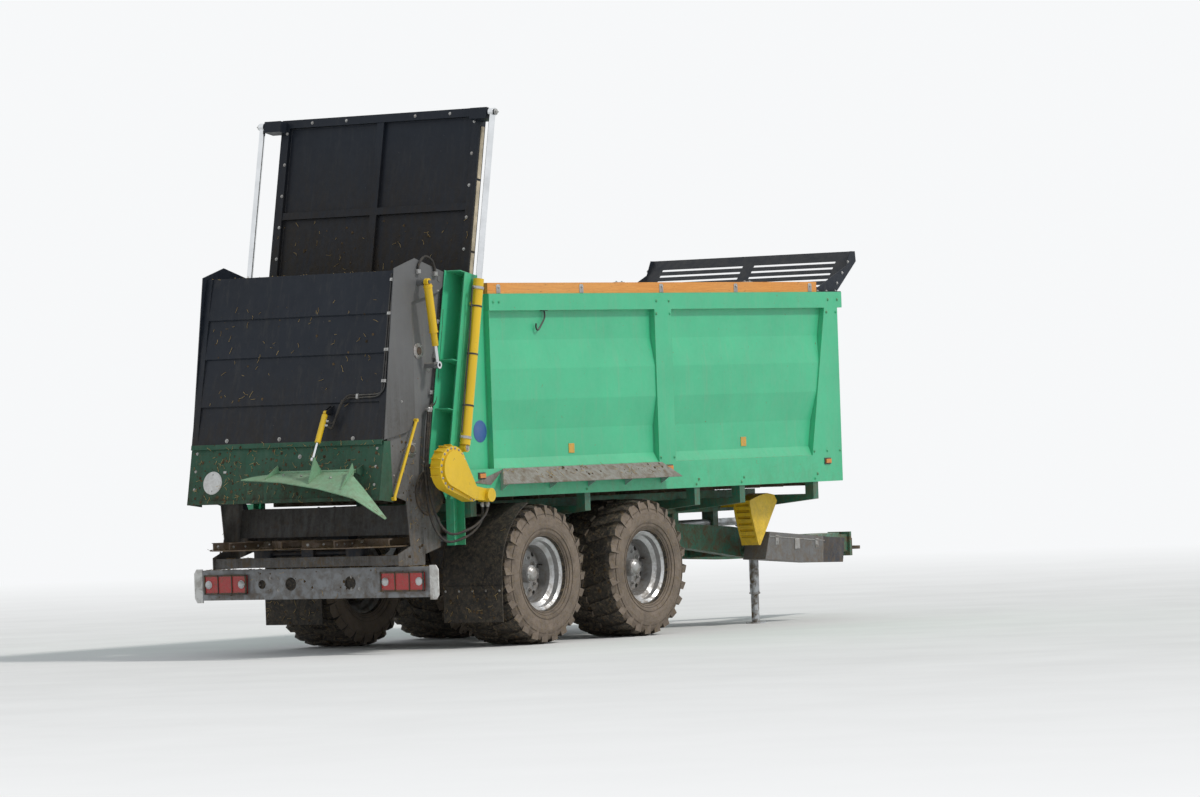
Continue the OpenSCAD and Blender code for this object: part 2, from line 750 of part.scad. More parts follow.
// Folded sheets over the wheels, hung from the sills
module fenders() {
    color(zinc) placed() both_sides() {
        intersection() {
            long_profile([[body_y + seat, sill_top_z - 2], [body_y + seat, sill_top_z - 12],
                [fender_out, fender_z0], [fender_out + 1, fender_z0 + 6], [body_y + 5, sill_top_z - 2]],
                fender_low[0], fender_low[1]);
            side_plate([[fender_top[0], sill_top_z], [fender_low[0], fender_z0 - 2],
                [fender_low[1], fender_z0 - 2], [fender_top[1], sill_top_z]], body_y, fender_out + 10);
        }
        side_plate([[fender_top[0], sill_top_z - 8], [fender_low[0] - 230, fender_z0 + 24],
            [fender_low[0], fender_z0]], body_y + seat, body_y + seat + fender_t);
    }
}

guard_arc_r = 640;
guard_from = 112; // degrees about the rear axle
guard_to = 190;
flap_w = 600;

// Curved guards behind the rear wheels, with hanging flaps
module mudguards() {
    arc_pts = [for (a = [guard_from:6:guard_to]) a];
    y0 = wheel_y - flap_w / 2;
    y1 = wheel_y + flap_w / 2;
    color(black) placed() both_sides() {
        side_plate(concat(
            [for (a = arc_pts) [guard_arc_r * cos(a), wheel_z + guard_arc_r * sin(a)]],
            backwards([for (a = arc_pts) [(guard_arc_r + 7) * cos(a), wheel_z + (guard_arc_r + 7) * sin(a)]])),
            y0, y1);
        box(outriggers[0] + outrigger_t + seat, -402, wheel_y - 30, wheel_y + 30, 1085, 1100);
        box(-guard_arc_r - 10, -guard_arc_r, y0, y1, 210, 510);
    }
}

// Wedge chocks hung tip down beside the frame, one on each side
module wheel_chocks() {
    color(signal_yellow) placed() both_sides() {
        difference() {
            side_plate([[3567, 1098], [3702, 1134], [3850, 1157], [3960, 1140], [4005, 1085], [3925, 979],
                [3720, 703], [3690, 703], [3595, 963]], 720, 900);
            for (z = [760:56:1060]) side_plate([[3500, z], [3612 - (z - 960) * 0.3, z + 8],
                [3612 - (z - 960) * 0.3, z + 30], [3500, z + 38]], 740, 880);
        }
        box(3760, 3800, frame_y + frame_w / 2 + seat, 721, 1040, 1090);
    }
}

arm_y0 = 340;
arm_y1 = 460;

// Box beside the drawbar, with a darker end box ahead of it
module tool_box() {
    color(plate_grey) placed() mirror([0, 1, 0]) {
        side_plate([[3790, 575], [3870, 815], [4760, 745], [4700, 515]], 660, 900);
        side_plate([[4757, 744], [5090, 722], [5050, 506], [4697, 516]], 670, 895);
        for (x = [4430, 4640]) box(x, x + 40, arm_y1 + seat, 662, 610, 670);
    }
}

tank_r = 110;
tank_x0 = 2450;
tank_x1 = 3030;
tank_y = 625;
tank_z = 880;

module air_tank() {
    color(black) placed() {
        translate([tank_x0, tank_y, tank_z]) rotate([0, 90, 0]) rotate_extrude()
            polygon([[0, 0], [60, 6], [95, 26], [tank_r, 60], [tank_r, tank_x1 - tank_x0 - 60],
                [95, tank_x1 - tank_x0 - 26], [60, tank_x1 - tank_x0 - 6], [0, tank_x1 - tank_x0]]);
        for (x = [tank_x0 + 110, tank_x1 - 150]) {
            box(x, x + 40, frame_y + frame_w / 2 + seat, frame_y + frame_w / 2 + 8, tank_z - 20, frame_top_z - 20);
            box(x, x + 40, frame_y + frame_w / 2 + 1, tank_y - tank_r + 12, tank_z - 20, tank_z + 20);
        }
    }
}

// Smoothed route through hand-chosen points
function route_at(p, i, t) = let (
    n = len(p) - 1,
    a = p[max(i - 1, 0)], b = p[i], c = p[min(i + 1, n)], d = p[min(i + 2, n)])
    0.5 * (2 * b + (c - a) * t + (2 * a - 5 * b + 4 * c - d) * t * t + (3 * b - a - 3 * c + d) * t * t * t);
function route(p, steps) = concat([for (i = [0:len(p) - 2]) for (k = [0:steps - 1]) route_at(p, i, k / steps)],
    [p[len(p) - 1]]);
function unit(v) = v / norm(v);

// A round hose swept along a route
module hose(points, r, steps = 5) {
    path = route(points, steps);
    n = len(path);
    sides = 8;
    ref = unit([0.31, 0.9, 0.21]);
    rings = [for (i = [0:n - 1]) let (
        t = unit(path[min(i + 1, n - 1)] - path[max(i - 1, 0)]),
        u = unit(cross(t, ref)),
        w = cross(t, u))
        for (k = [0:sides - 1]) path[i] + r * (cos(k * 45) * u + sin(k * 45) * w)];
    polyhedron(points = rings, faces = concat(
        [[for (k = [0:sides - 1]) sides - 1 - k]],
        [for (i = [0:n - 2]) for (k = [0:sides - 1])
            [i * sides + k, i * sides + (k + 1) % sides, (i + 1) * sides + (k + 1) % sides, (i + 1) * sides + k]],
        [[for (k = [0:sides - 1]) (n - 1) * sides + k]]));
}

hose_r = 11;
// Route of the floor motor's hoses down beside the side plate and forward to the motor
hose_routes = [
    [[-1275, -1012, 2000], [-1350, -1014, 1500], [-1350, -1050, 1100], [-1240, -1110, 900],
        [-1020, -1165, 930], [-860, -1178, 1020], [-812, -1182, 1110], [-812, -1182, 1205.5]],
    [[-1248, -1012, 2000], [-1325, -1016, 1500], [-1322, -1075, 1130], [-1215, -1135, 960],
        [-1020, -1198, 990], [-880, -1216, 1060], [-788, -1220, 1130], [-788, -1220, 1205.5]]];

module hydraulic_hoses() {
    color(black) placed() for (r = hose_routes) hose(r, hose_r);
}

arm_rear_x = 3000;
arm_bend_x = 5000;
arm_foot_z = 550;
arm_top_z = 745;
head_x = 6150;
head_y = 95;
flange_x = 6400;

// Two drawbar beams under the frame that come together ahead of the body
module drawbar() {
    color(deep_green) placed() {
        both_sides() {
            side_plate([[arm_rear_x, 925], [3900, 870], [arm_bend_x, arm_top_z], [arm_bend_x, arm_foot_z],
                [4100, 590], [3100, 715], [arm_rear_x, 715]], arm_y0, arm_y1);
            translate([0, 0, arm_foot_z]) linear_extrude(arm_top_z - arm_foot_z) polygon([
                [arm_bend_x - 1, arm_y0], [arm_bend_x - 1, arm_y1], [head_x + 80, head_y],
                [head_x + 80, 0], [head_x - 160, 0]]);
            for (x = [arm_rear_x + 20, 4230])
                side_plate([[x, 760], [x + 90, 760], [x + 90, frame_foot_z - seat], [x, frame_foot_z - seat]],
                    frame_y - 30, frame_y + 30);
        }
        cross_bar(jack_x, jack_pivot_z, jack_y, -arm_y1 + 1, jack_pin_r);
        cross_bar(jack_x, jack_pivot_z, jack_y + jack_boss_l + 2, -arm_y1 + 1, jack_boss_r);
        box(4400, 4480, -arm_y0 - 1, arm_y0 + 1, 590, 700);
        box(head_x, flange_x - 30, -head_y, head_y, arm_foot_z + 20, arm_top_z - 20);
        box(flange_x - 30, flange_x, -120, 120, arm_foot_z - 20, arm_top_z + 5);
    }
}

eye_ring_r = eye_bore_r + 45;

// Drawbar eye with a flange that bolts to the head
module hitch_eye() {
    color(anthracite) placed() difference() {
        union() {
            box(flange_x + seat, flange_x + 25, -110, 110, eye_z - 70, eye_z + 90);
            translate([flange_x + 20, 0, eye_z]) rotate([0, 90, 0])
                cylinder(h = eye_x - flange_x - 20 - eye_ring_r + 20, r = 38);
            translate([eye_x, 0, eye_z - eye_t / 2]) cylinder(h = eye_t, r = eye_ring_r);
        }
        translate([eye_x, 0, eye_z - 60]) cylinder(h = 120, r = eye_bore_r);
        for (up = [-1, 1]) translate([eye_x - eye_ring_r - 4, -60, up > 0 ? eye_z + eye_t / 2 : eye_z - eye_t / 2 - 60])
            cube([2 * eye_ring_r, 120, 60]);
    }
}

drum_r = 200;
hub_len = 130;
hub_in_y = wheel_y - 60;
spring_y0 = 480;
spring_y1 = 560;
pad_half = 70; // of the seats for the springs on the axles
pad_t = 25;

// Square axle beams with brake drums' backing and round spindles
module axles() {
    color(black) placed() for (x = [0, axle_gap]) translate([x, 0, wheel_z]) {
        box(-axle_side / 2, axle_side / 2, -hub_in_y + 115, hub_in_y - 115, -axle_side / 2, axle_side / 2);
        both_sides() {
            cross_bar(0, 0, hub_in_y - 150, hub_in_y - 20, drum_r);
            cross_bar(0, 0, hub_in_y - 21, wheel_y + 100, spindle_r);
        }
        both_sides() box(-pad_half, pad_half, spring_y0, spring_y1, axle_side / 2 - 1, axle_side / 2 + pad_t);
    }
}

leaf_t = 16;
leaf_count = 6;
leaf_step = 130;
spring_rise = 94;
leaf_tip_z = wheel_z + axle_side / 2 + pad_t + seat;

// One leaf of a spring, an arc that stands at z_tip over both axles and is raised in its middle
module leaf(half, z_tip) {
    span_half = axle_gap / 2 + pad_half - 15;
    big_r = (span_half * span_half + spring_rise * spring_rise) / (2 * spring_rise);
    centre_z = z_tip + spring_rise - big_r;
    intersection() {
        difference() {
            cross_bar(axle_gap / 2, centre_z, spring_y0, spring_y1, big_r + leaf_t);
            cross_bar(axle_gap / 2, centre_z, spring_y0 - 1, spring_y1 + 1, big_r);
        }
        box(axle_gap / 2 - half, axle_gap / 2 + half, spring_y0 - 2, spring_y1 + 2, z_tip - 100, z_tip + 300);
    }
}

// Balance springs between the axles, clamped to brackets under the frame
module leaf_springs() {
    color("#3a3a3a") placed() both_sides() {
        for (i = [0:leaf_count - 1])
            leaf(axle_gap / 2 + pad_half - 15 - i * leaf_step, leaf_tip_z - i * leaf_t);
        difference() {
            side_plate([[axle_gap / 2 - 170, frame_foot_z - 5], [axle_gap / 2 - 60, leaf_tip_z - 60],
                [axle_gap / 2 + 60, leaf_tip_z - 60], [axle_gap / 2 + 170, frame_foot_z - 5],
                [axle_gap / 2 + 170, frame_foot_z + 60], [axle_gap / 2 - 170, frame_foot_z + 60]],
                frame_y + frame_w / 2 + seat, spring_y1 + 12);
            box(axle_gap / 2 - outrigger_t / 2 - 1, axle_gap / 2 + outrigger_t / 2 + 1,
                0, 900, outrigger_foot_z - seat, 1400);
        }
    }
}

// Shaft under the floor from the splined stub to the main gearbox
module pto_driveline() {
    color(zinc) placed() translate([0, 0, drive_z]) rotate([0, 90, 0]) {
        translate([0, 0, gear_x1 - 38]) cylinder(h = stub_x - 90 - gear_x1 + 38, r = drive_r);
        translate([0, 0, stub_x - 91]) cylinder(h = 91, r = stub_r);
        for (x = [gear_x1 + 60, 1560, stub_x - 260]) translate([0, 0, x]) cylinder(h = 50, r = drive_r + 22);
    }
}

gate_rail_w = 80;
gate_sheet_t = 6;
ear_y1 = 1160;

// The lifting gate, drawn raised: a framed sheet with a middle rib and a cross member
module gate_panel() {
    half_t = gate_t / 2;
    color(anthracite) placed() leaning() {
        both_sides() {
            box(-half_t, half_t, gate_y - gate_rail_w, gate_y, gate_raised_u, gate_top_u);
            box(barrel_v - 34, 0, gate_y - 50, ear_y1, gate_top_u - 115, gate_top_u - 22);
            translate([barrel_v, barrel_y + 32, rod_eye_u]) rotate([90, 0, 0])
                cylinder(h = barrel_y + 32 - ear_y1 + 5, r = 18);
        }
        box(-half_t, half_t, -gate_y, gate_y, gate_top_u - 70, gate_top_u);
        box(-half_t, half_t, -gate_y, gate_y, gate_raised_u, gate_raised_u + 60);
        box(-half_t + 6, 1, -35, 35, gate_raised_u, gate_top_u);
        box(-half_t + 6, 1, -gate_y, gate_y, gate_top_u - 860, gate_top_u - 800);
        box(0, gate_sheet_t, -gate_y + 10, gate_y - 10, gate_raised_u, gate_top_u);
    }
}

rod_eye_r = 34;

module gate_rods() {
    color(bright_chrome) placed() both_sides() leaning() {
        translate([barrel_v, barrel_y, 0]) difference() {
            union() {
                translate([0, 0, piston_foot_u]) cylinder(h = rod_eye_u - 20 - piston_foot_u, r = rod_r);
                translate([0, 0, piston_foot_u]) cylinder(h = piston_l, r = barrel_r - barrel_wall - run);
                translate([0, 25, rod_eye_u]) rotate([90, 0, 0]) cylinder(h = 50, r = rod_eye_r);
            }
            translate([0, 26, rod_eye_u]) rotate([90, 0, 0]) cylinder(h = 52, r = 18 + seat);
        }
    }
}

// Fold lines of the hood's rear panel, measured down its slope, and how far each band stands out
hood_folds = [352, 680, 1083];
fold_out = 16;
hood_sheet_t = 5;

function hood_bands(x) = concat([[x, 0]],
    [for (f = concat(hood_folds, [hood_split])) for (k = [0, 1])
        k == 0 ? [x - fold_out, -f] : [x, -f - 10]]);
hood_inner_y = hood_y - plate_t;
gable = [[-1662, 3136], [-1378, 3218], [-944, 3095]]; // corners of the cheeks' raised tops

// The hood: a clapboard-folded rear panel, a top sheet and two cheeks that turn on the hinge pins
module hood_panel() {
    bands = [for (i = [0:len(hood_folds) * 2 + 1]) hood_bands(0)[i]];
    rear_foot = [hood_plane_x(hood_top_z - hood_split * cos(lean)), hood_top_z - hood_split * cos(lean)];
    color(anthracite) placed() {
        on_hood() {
            side_plate(concat(bands, backwards([for (p = bands) [p[0] + hood_sheet_t, p[1]]])),
                -hood_inner_y + 60, hood_inner_y - 60);
            both_sides() box(-fold_out, 20, hood_inner_y - 60, hood_inner_y + 1, -hood_split, 0);
        }
        box(hood_top_x, hinge_x - 60, -hood_inner_y - 1, hood_inner_y + 1, 3108, 3113);
        difference() {
            side_plate([rear_foot, gable[0], gable[1], gable[2], [-1000, 2990], [-1060, 2940], [-1440, 2860],
                [-1440, 1870], [-1560, 1800]], -hood_y, -hood_inner_y);
            cross_bar(hinge_x, hinge_z, -hood_y - 1, -hood_inner_y + 1, pin_r + run);
        }
        difference() {
            side_plate([rear_foot, gable[0], gable[1], gable[2], [-1000, 2990], [-1060, 2940], [-1420, 2760],
                [-1460, 2560], [-1560, 2200], [-1590, 1900]], hood_inner_y, hood_y);
            cross_bar(hinge_x, hinge_z, hood_inner_y - 1, hood_y + 1, pin_r + run);
        }
        for (y = [defl_cyl_y - 20.5, defl_cyl_y + 12.5]) side_plate([
            [hood_plane_x(2040) + 2, 2040], [defl_a[0] - 11, defl_a[1] + 11], [defl_a[0] - 11, defl_a[1] - 5],
            [defl_a[0] - 4, defl_a[1] - 11], [hood_plane_x(1960) + 2, 1960]], y, y + 8);
        cross_bar(defl_a[0], defl_a[1], defl_cyl_y - 20, defl_cyl_y + 20, defl_pin_r);
        both_sides() {
            cross_bar(lift_a[0], lift_a[1], hood_y - 1, lift_y - lift_barrel_r - 4, 26);
            cross_bar(lift_a[0], lift_a[1], lift_y - lift_barrel_r - 5, lift_y + 30, lift_pin_r);
        }
    }
}

lower_t = 5;
hinge_tube_r = 15;
defl_pin_r = 8;
defl_y0 = -790;
defl_y1 = 50;

// Green panel below the hood's folds, with side fins and the lugs of the deflector's hinge
module hood_lower_panel() {
    panel_top = -hood_split - seat;
    panel_foot = panel_top - hood_green_len;
    z_top = hood_top_z + panel_top * cos(lean);
    z_foot = hood_top_z + panel_foot * cos(lean);
    color(body_green) placed() {
        on_hood() {
            box(0, lower_t, -hood_inner_y, hood_inner_y, panel_foot, panel_top);
            box(-22, 1, -hood_inner_y, hood_inner_y, panel_top - 6, panel_top);
            box(-22, -17, -hood_inner_y, hood_inner_y, panel_top - 40, panel_top);
            box(-10, 1, -hood_inner_y, hood_inner_y, panel_foot, panel_foot + 30);
        }
        both_sides() side_plate([[hood_plane_x(z_top - 9) + 1, z_top - 9], [-1790, z_top - 9], [-1778, 1235],
            [hood_plane_x(z_foot) + 1, z_foot + 2]], hood_inner_y - 1, hood_y);
        for (y = [defl_y0 - 14, defl_y1 + 4]) side_plate([
            [hood_plane_x(defl_hinge[1] + 50) + 2, defl_hinge[1] + 50],
            [defl_hinge[0] - 14, defl_hinge[1] + 14], [defl_hinge[0] - 14, defl_hinge[1] - 14],
            [hood_plane_x(defl_hinge[1] - 50) + 2, defl_hinge[1] - 50]], y, y + 10);
        cross_bar(defl_hinge[0], defl_hinge[1], defl_y0 - 13, defl_y1 + 13, defl_pin_r);
    }
}

stay_top = [-1452, 1894];
stay_foot = [-1790, 1262];
stay_y = 1012;

// Thin yellow bars that brace the cheeks to the lower panel
module hood_stays() {
    color(signal_yellow) placed() mirror([0, 1, 0]) {
        along(stay_top, stay_foot, stay_y) cylinder(h = span(stay_top, stay_foot), r = 13);
        for (p = [stay_top, stay_foot]) cross_bar(p[0], p[1], hood_y + seat, stay_y + 14, 15);
    }
}

lift_head = 40;
lift_barrel_l = 400;
lift_piston_l = 30;

// Barrel of a hood cylinder, hanging from its eye on the hood
module hood_barrel(y) {
    color(signal_yellow) placed() along(lift_a, lift_b, y) difference() {
        union() {
            translate([0, 0, 20]) cylinder(h = lift_barrel_l, r = lift_barrel_r);
            translate([0, 18, 0]) rotate([90, 0, 0]) cylinder(h = 36, r = 30);
        }
        translate([0, 19, 0]) rotate([90, 0, 0]) cylinder(h = 38, r = lift_pin_r + run);
        translate([0, 0, 44]) cylinder(h = lift_barrel_l - 24 - lift_head, r = lift_barrel_r - 5);
        translate([0, 0, 44]) cylinder(h = lift_barrel_l + 44, r = lift_rod_r + run);
    }
}

module hood_barrel_left() {
    hood_barrel(lift_y);
}

module hood_barrel_right() {
    hood_barrel(-lift_y);
}

// Rod of a hood cylinder, its eye beside the lug on the side plate
module hood_rod(y) {
    reach = span(lift_a, lift_b);
    color(bright_chrome) placed() along(lift_a, lift_b, y) difference() {
        union() {
            translate([0, 0, 54]) cylinder(h = reach - 20 - 54, r = lift_rod_r);
            translate([0, 0, 54]) cylinder(h = lift_piston_l, r = lift_barrel_r - 5 - run);
            translate([0, 20, reach]) rotate([90, 0, 0]) cylinder(h = 40, r = 30);
        }
        translate([0, 21, reach]) rotate([90, 0, 0]) cylinder(h = 42, r = lift_pin_r + run);
    }
}

module hood_rod_left() {
    hood_rod(lift_y);
}

module hood_rod_right() {
    hood_rod(-lift_y);
}

defl_t = 6;
defl_slope = 24;
defl_len = 262;
wing_tip = [-2095, -1150, 1110];

// A thin triangle between three corners
module tri_plate(a, b, c, t) {
    n = unit(cross(b - a, c - a)) * t;
    polyhedron(points = [a, b, c, a + n, b + n, c + n],
        faces = [[0, 1, 2], [5, 4, 3], [0, 3, 4, 1], [1, 4, 5, 2], [2, 5, 3, 0]]);
}

// Deflector flap over the discs' throw: a sloping plate with ribs and a wing that drops to the right
module deflector() {
    lip_x = defl_hinge[0] - defl_len * cos(defl_slope);
    lip_z = defl_hinge[1] - defl_len * sin(defl_slope);
    color("#6fae86") placed() {
        difference() {
            cross_bar(defl_hinge[0], defl_hinge[1], defl_y0, defl_y1, hinge_tube_r);
            cross_bar(defl_hinge[0], defl_hinge[1], defl_y0 - 1, defl_y1 + 1, defl_pin_r + run);
        }
        translate([defl_hinge[0], 0, defl_hinge[1]]) rotate([0, -defl_slope, 0])
            translate([0, 0, -defl_t / 2]) linear_extrude(defl_t) polygon([
                [-11, defl_y1], [-11, defl_y0], [-60, defl_y0], [-defl_len, defl_y0 - 10], [-defl_len - 6, -100],
                [-defl_len + 20, defl_y1 + 205], [-60, defl_y1]]);
        tri_plate([defl_hinge[0] - 45, defl_y0 + 2, defl_hinge[1] - 24], [lip_x, defl_y0 - 8, lip_z - 3],
            wing_tip, defl_t);
        side_plate([[defl_hinge[0] - 10, defl_hinge[1] - 4], [defl_b[0] + 12, defl_b[1] - 14],
            [defl_b[0] - 12, defl_b[1] - 14], [lip_x + 40, lip_z + 20]], defl_cyl_y - 20, defl_cyl_y - 12);
        for (y = [defl_y1 - 60, defl_y0 + 4]) side_plate([[defl_hinge[0] - 10, defl_hinge[1] - 4],
            [defl_hinge[0] - 30, defl_hinge[1] + 62], [lip_x + 40, lip_z + 20]], y, y + 8);
        cross_bar(defl_b[0], defl_b[1], defl_cyl_y - 20, defl_cyl_y - 12, 18);
    }
}

defl_barrel_l = 250;
defl_stroke = 75;

module deflector_barrel() {
    color(signal_yellow) placed() along(defl_a, defl_b, defl_cyl_y) difference() {
        union() {
            translate([0, 0, 21]) cylinder(h = defl_barrel_l, r = 24);
            translate([0, 0, 10]) cylinder(h = 14, r = 11);
            translate([0, 12, 0]) rotate([90, 0, 0]) cylinder(h = 24, r = 18);
        }
        translate([0, 13, 0]) rotate([90, 0, 0]) cylinder(h = 26, r = defl_pin_r + run);
        translate([0, 0, 40]) cylinder(h = defl_barrel_l, r = 11 + run);
    }
}

module deflector_rod() {
    reach = span(defl_a, defl_b);
    color(bright_chrome) placed() along(defl_a, defl_b, defl_cyl_y) difference() {
        union() {
            translate([0, 0, 40 + defl_stroke]) cylinder(h = reach - 12 - 40 - defl_stroke, r = 11);
            translate([0, 10, reach]) rotate([90, 0, 0]) cylinder(h = 20, r = 18);
        }
        translate([0, 11, reach]) rotate([90, 0, 0]) cylinder(h = 22, r = defl_pin_r + run);
    }
}

foot_r = 90;

// Parking jack, its foot on the ground, hung on a pin beside the drawbar
module jack_leg() {
    color(zinc) placed() translate([jack_x, jack_y, 0]) difference() {
        union() {
            cylinder(h = 12, r = foot_r);
            translate([0, 0, 11]) cylinder(h = 300, r = jack_r - 7);
            translate([0, 0, 260]) cylinder(h = 660, r = jack_r);
            translate([0, 0, 919]) cylinder(h = 20, r = 14);
            box(-110, 20, -14, 14, 925, 940);
            translate([0, jack_boss_l, jack_pivot_z]) rotate([90, 0, 0]) cylinder(h = jack_boss_l, r = jack_boss_r);
        }
        translate([0, jack_boss_l + 1, jack_pivot_z]) rotate([90, 0, 0])
            cylinder(h = jack_boss_l + 11, r = jack_pin_r + run);
    }
}

rim_half = tyre_w / 2 - 62;
rim_seat_drop = 22;

// Half section of a tyre as distance from the axle and place across the tread
side_steps = 6;
crown_r = tyre_d / 2 - lug_h;
tyre_wall = 24;

function tyre_side(shrink) = [for (i = [0:side_steps]) let (
    a = -58 + i * (148 / side_steps),
    mid_r = (rim_r + crown_r) / 2 - 4,
    half = (crown_r - rim_r) / 2 + 8)
    [mid_r + (half - shrink) * sin(a), tyre_w / 2 - 75 + (75 - shrink) * cos(a)]];

// Bead of a tyre, seated on the rim just inside its flange
tyre_bead = [[rim_r - rim_seat_drop - 2 + 2 * seat, rim_half - 58],
    [rim_r - rim_seat_drop + 2 * seat, rim_half - 16 - 2 * seat], [rim_r + 2 * seat, rim_half - 2 * seat]];

module tyre_ring() {
    outer = concat(tyre_bead, tyre_side(0));
    rotate_extrude($fn = 36) polygon(concat(outer, backwards([for (p = outer) [p[0], -p[1]]]),
        [for (p = tyre_side(tyre_wall)) [p[0], -p[1]]], backwards(tyre_side(tyre_wall))));
}

lug_in = 4;
lug_out = tyre_w / 2 - 4;
lug_mid = (lug_in + lug_out) / 2;
lug_slant = 16;
lug_w = PI * tyre_d / lug_count * 0.42;
// The lug's far corner just reaches the tyre's outside diameter
lug_reach = (lug_out - lug_in) / 2 * sin(lug_slant) + lug_w / 2 * cos(lug_slant);
lug_top_r = sqrt(pow(tyre_d / 2, 2) - pow(lug_reach, 2));

// Outline of a lug as distance from the axle and place across: over the crown and down the shoulder
lug_outline = [[crown_r - 12, lug_in], [lug_top_r, lug_in], [lug_top_r, lug_out - 66], [lug_top_r - 14, lug_out - 12],
    [crown_r - 92, lug_out], [crown_r - 50, lug_out - 16], [crown_r - 24, lug_out - 36], [crown_r - 10, lug_out - 72]];

module lug_row(shift) {
    for (i = [0:lug_count - 1]) rotate([0, 0, (i + shift) * 360 / lug_count])
        translate([0, 0, lug_mid]) rotate([lug_slant, 0, 0]) translate([0, 0, -lug_mid])
            side_plate(lug_outline, -lug_w / 2, lug_w / 2);
}

// Tyre on the Z axis: an open ring with two staggered rows of slanting lugs
module tyre() {
    tyre_ring();
    lug_row(0);
    mirror([0, 0, 1]) lug_row(0.5);
}

// Section of the rim as distance from the axle and place across, the outer side positive
rim_t = 7;
dish_y = 60;
stud_count = 10;
stud_pcd_r = 140;
window_count = 10;

module rim() {
    half = [[rim_r, rim_half], [rim_r - rim_seat_drop, rim_half - 16], [rim_r - rim_seat_drop - 2, rim_half - 60],
        [rim_r - 58, rim_half - 84]];
    outer = concat(half, backwards([for (p = half) [p[0], -p[1]]]));
    inner = [for (p = outer) [p[0] - rim_t, p[1]]];
    difference() {
        union() {
            rotate_extrude() polygon(concat(outer, backwards(inner)));
            rotate_extrude() polygon([[rim_r - 60, dish_y - 30], [rim_r - 60, dish_y - 14],
                [200, dish_y + 12], [90, dish_y + 12], [90, dish_y], [205, dish_y], [rim_r - 66, dish_y - 30]]);
            translate([0, 0, -60]) cylinder(h = hub_len, r = 96);
            translate([0, 0, hub_len - 61]) cylinder(h = 70, r = 72);
            for (i = [0:stud_count - 1]) rotate([0, 0, i * 360 / stud_count])
                translate([stud_pcd_r, 0, dish_y + 11]) cylinder(h = 24, r = 15, $fn = 6);
        }
        for (i = [0:window_count - 1]) rotate([0, 0, (i + 0.5) * 360 / window_count])
            translate([200, 0, dish_y - 40]) cylinder(h = 100, r = 22, $fn = 24);
        translate([0, 0, -61]) cylinder(h = hub_len + 40, r = spindle_r + run);
    }
}

// Puts a wheel's Z axis across the machine, outer side away from the middle
module at_wheel(x, side) {
    placed() translate([x, side * wheel_y, wheel_z]) rotate([-90 * side, 0, 0]) children();
}

module tyre_front_left() {
    color(black) at_wheel(axle_gap, 1) tyre();
}

module tyre_front_right() {
    color(black) at_wheel(axle_gap, -1) tyre();
}

module tyre_rear_left() {
    color(black) at_wheel(0, 1) tyre();
}

module tyre_rear_right() {
    color(black) at_wheel(0, -1) tyre();
}

module rim_front_left() {
    color(zinc) at_wheel(axle_gap, 1) rim();
}

module rim_front_right() {
    color(zinc) at_wheel(axle_gap, -1) rim();
}

module rim_rear_left() {
    color(zinc) at_wheel(0, 1) rim();
}

module rim_rear_right() {
    color(zinc) at_wheel(0, -1) rim();
}

blade_t = 12;
blade_y = 860;
blade_turn = 77;

// A lying beater: a tube with hooked blades set along two spirals
module beater(at, hand) {
    tube_y = 890;
    color("#55504a") placed() translate([at[0], 0, at[1]]) {
        cross_bar(0, 0, -tube_y, tube_y, beater_tube_r);
        cross_bar(0, 0, -plate_y - 14, plate_y + 24, stub_shaft_r);
        for (i = [0:beater_blades - 1]) for (half = [0, 180])
            rotate([0, hand * i * blade_turn + half, 0]) side_plate([
                [beater_tube_r - 8, -55], [beater_tube_r - 8, 55], [beater_r - 60, 42], [beater_r - 8, 62],
                [beater_r - 2, 30], [beater_r - 42, 0], [beater_r - 50, -34]],
                -blade_y + i * (2 * blade_y - blade_t) / (beater_blades - 1),
                -blade_y + i * (2 * blade_y - blade_t) / (beater_blades - 1) + blade_t);
    }
}

module beater_lower() {
    beater(beater_low, 1);
}

module beater_upper() {
    beater(beater_high, -1);
}

disc_t = 8;
vane_h = 68;
vane_t = 6;

// A spreading disc with swept vanes on a dished hub
module spinner(side) {
    color("#6a655e") placed() translate([disc_x, side * disc_y, disc_z]) {
        cylinder(h = disc_t, r = disc_r);
        rotate_extrude() polygon([[0, 0], [130, 0], [120, 22], [60, 60], [0, 66]]);
        translate([0, 0, -disc_z + beam_z1 + 14]) cylinder(h = disc_z - beam_z1 - 13, r = shaft_r);
        for (i = [0:vane_count - 1]) rotate([0, 0, i * 360 / vane_count]) translate([70, 30, 0])
            rotate([0, 0, -10 * side]) {
                box(0, disc_r - 84, 0, vane_t, disc_t - 1, vane_h);
                box(0, disc_r - 84, 0, 34, vane_h - vane_t, vane_h);
            }
    }
}

module spinner_left() {
    spinner(1);
}

module spinner_right() {
    spinner(-1);
}

chassis_frame();
drawbar();
hitch_eye();
axles();
leaf_springs();
floor_deck();
floor_conveyor();
side_wall_left();
side_wall_right();
side_frame_left();
side_frame_right();
front_wall();
front_guard();
rear_posts();
top_boards();
gate_barrels();
spreader_frame();
drive_gearboxes();
beater_drive_case();
floor_gearbox();
light_bar();
lamps();
fenders();
mudguards();
wheel_chocks();
tool_box();
air_tank();
hydraulic_hoses();
pto_driveline();
gate_panel();
gate_rods();
hood_panel();
hood_lower_panel();
hood_stays();
hood_barrel_left();
hood_barrel_right();
hood_rod_left();
hood_rod_right();
deflector();
deflector_barrel();
deflector_rod();
jack_leg();
tyre_front_left();
tyre_front_right();
tyre_rear_left();
tyre_rear_right();
rim_front_left();
rim_front_right();
rim_rear_left();
rim_rear_right();
beater_lower();
beater_upper();
spinner_left();
spinner_right();
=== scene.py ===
"""Looks of the manure spreader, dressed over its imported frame. Metres, +X forward, +Y left, +Z up."""
import json
import math
import random

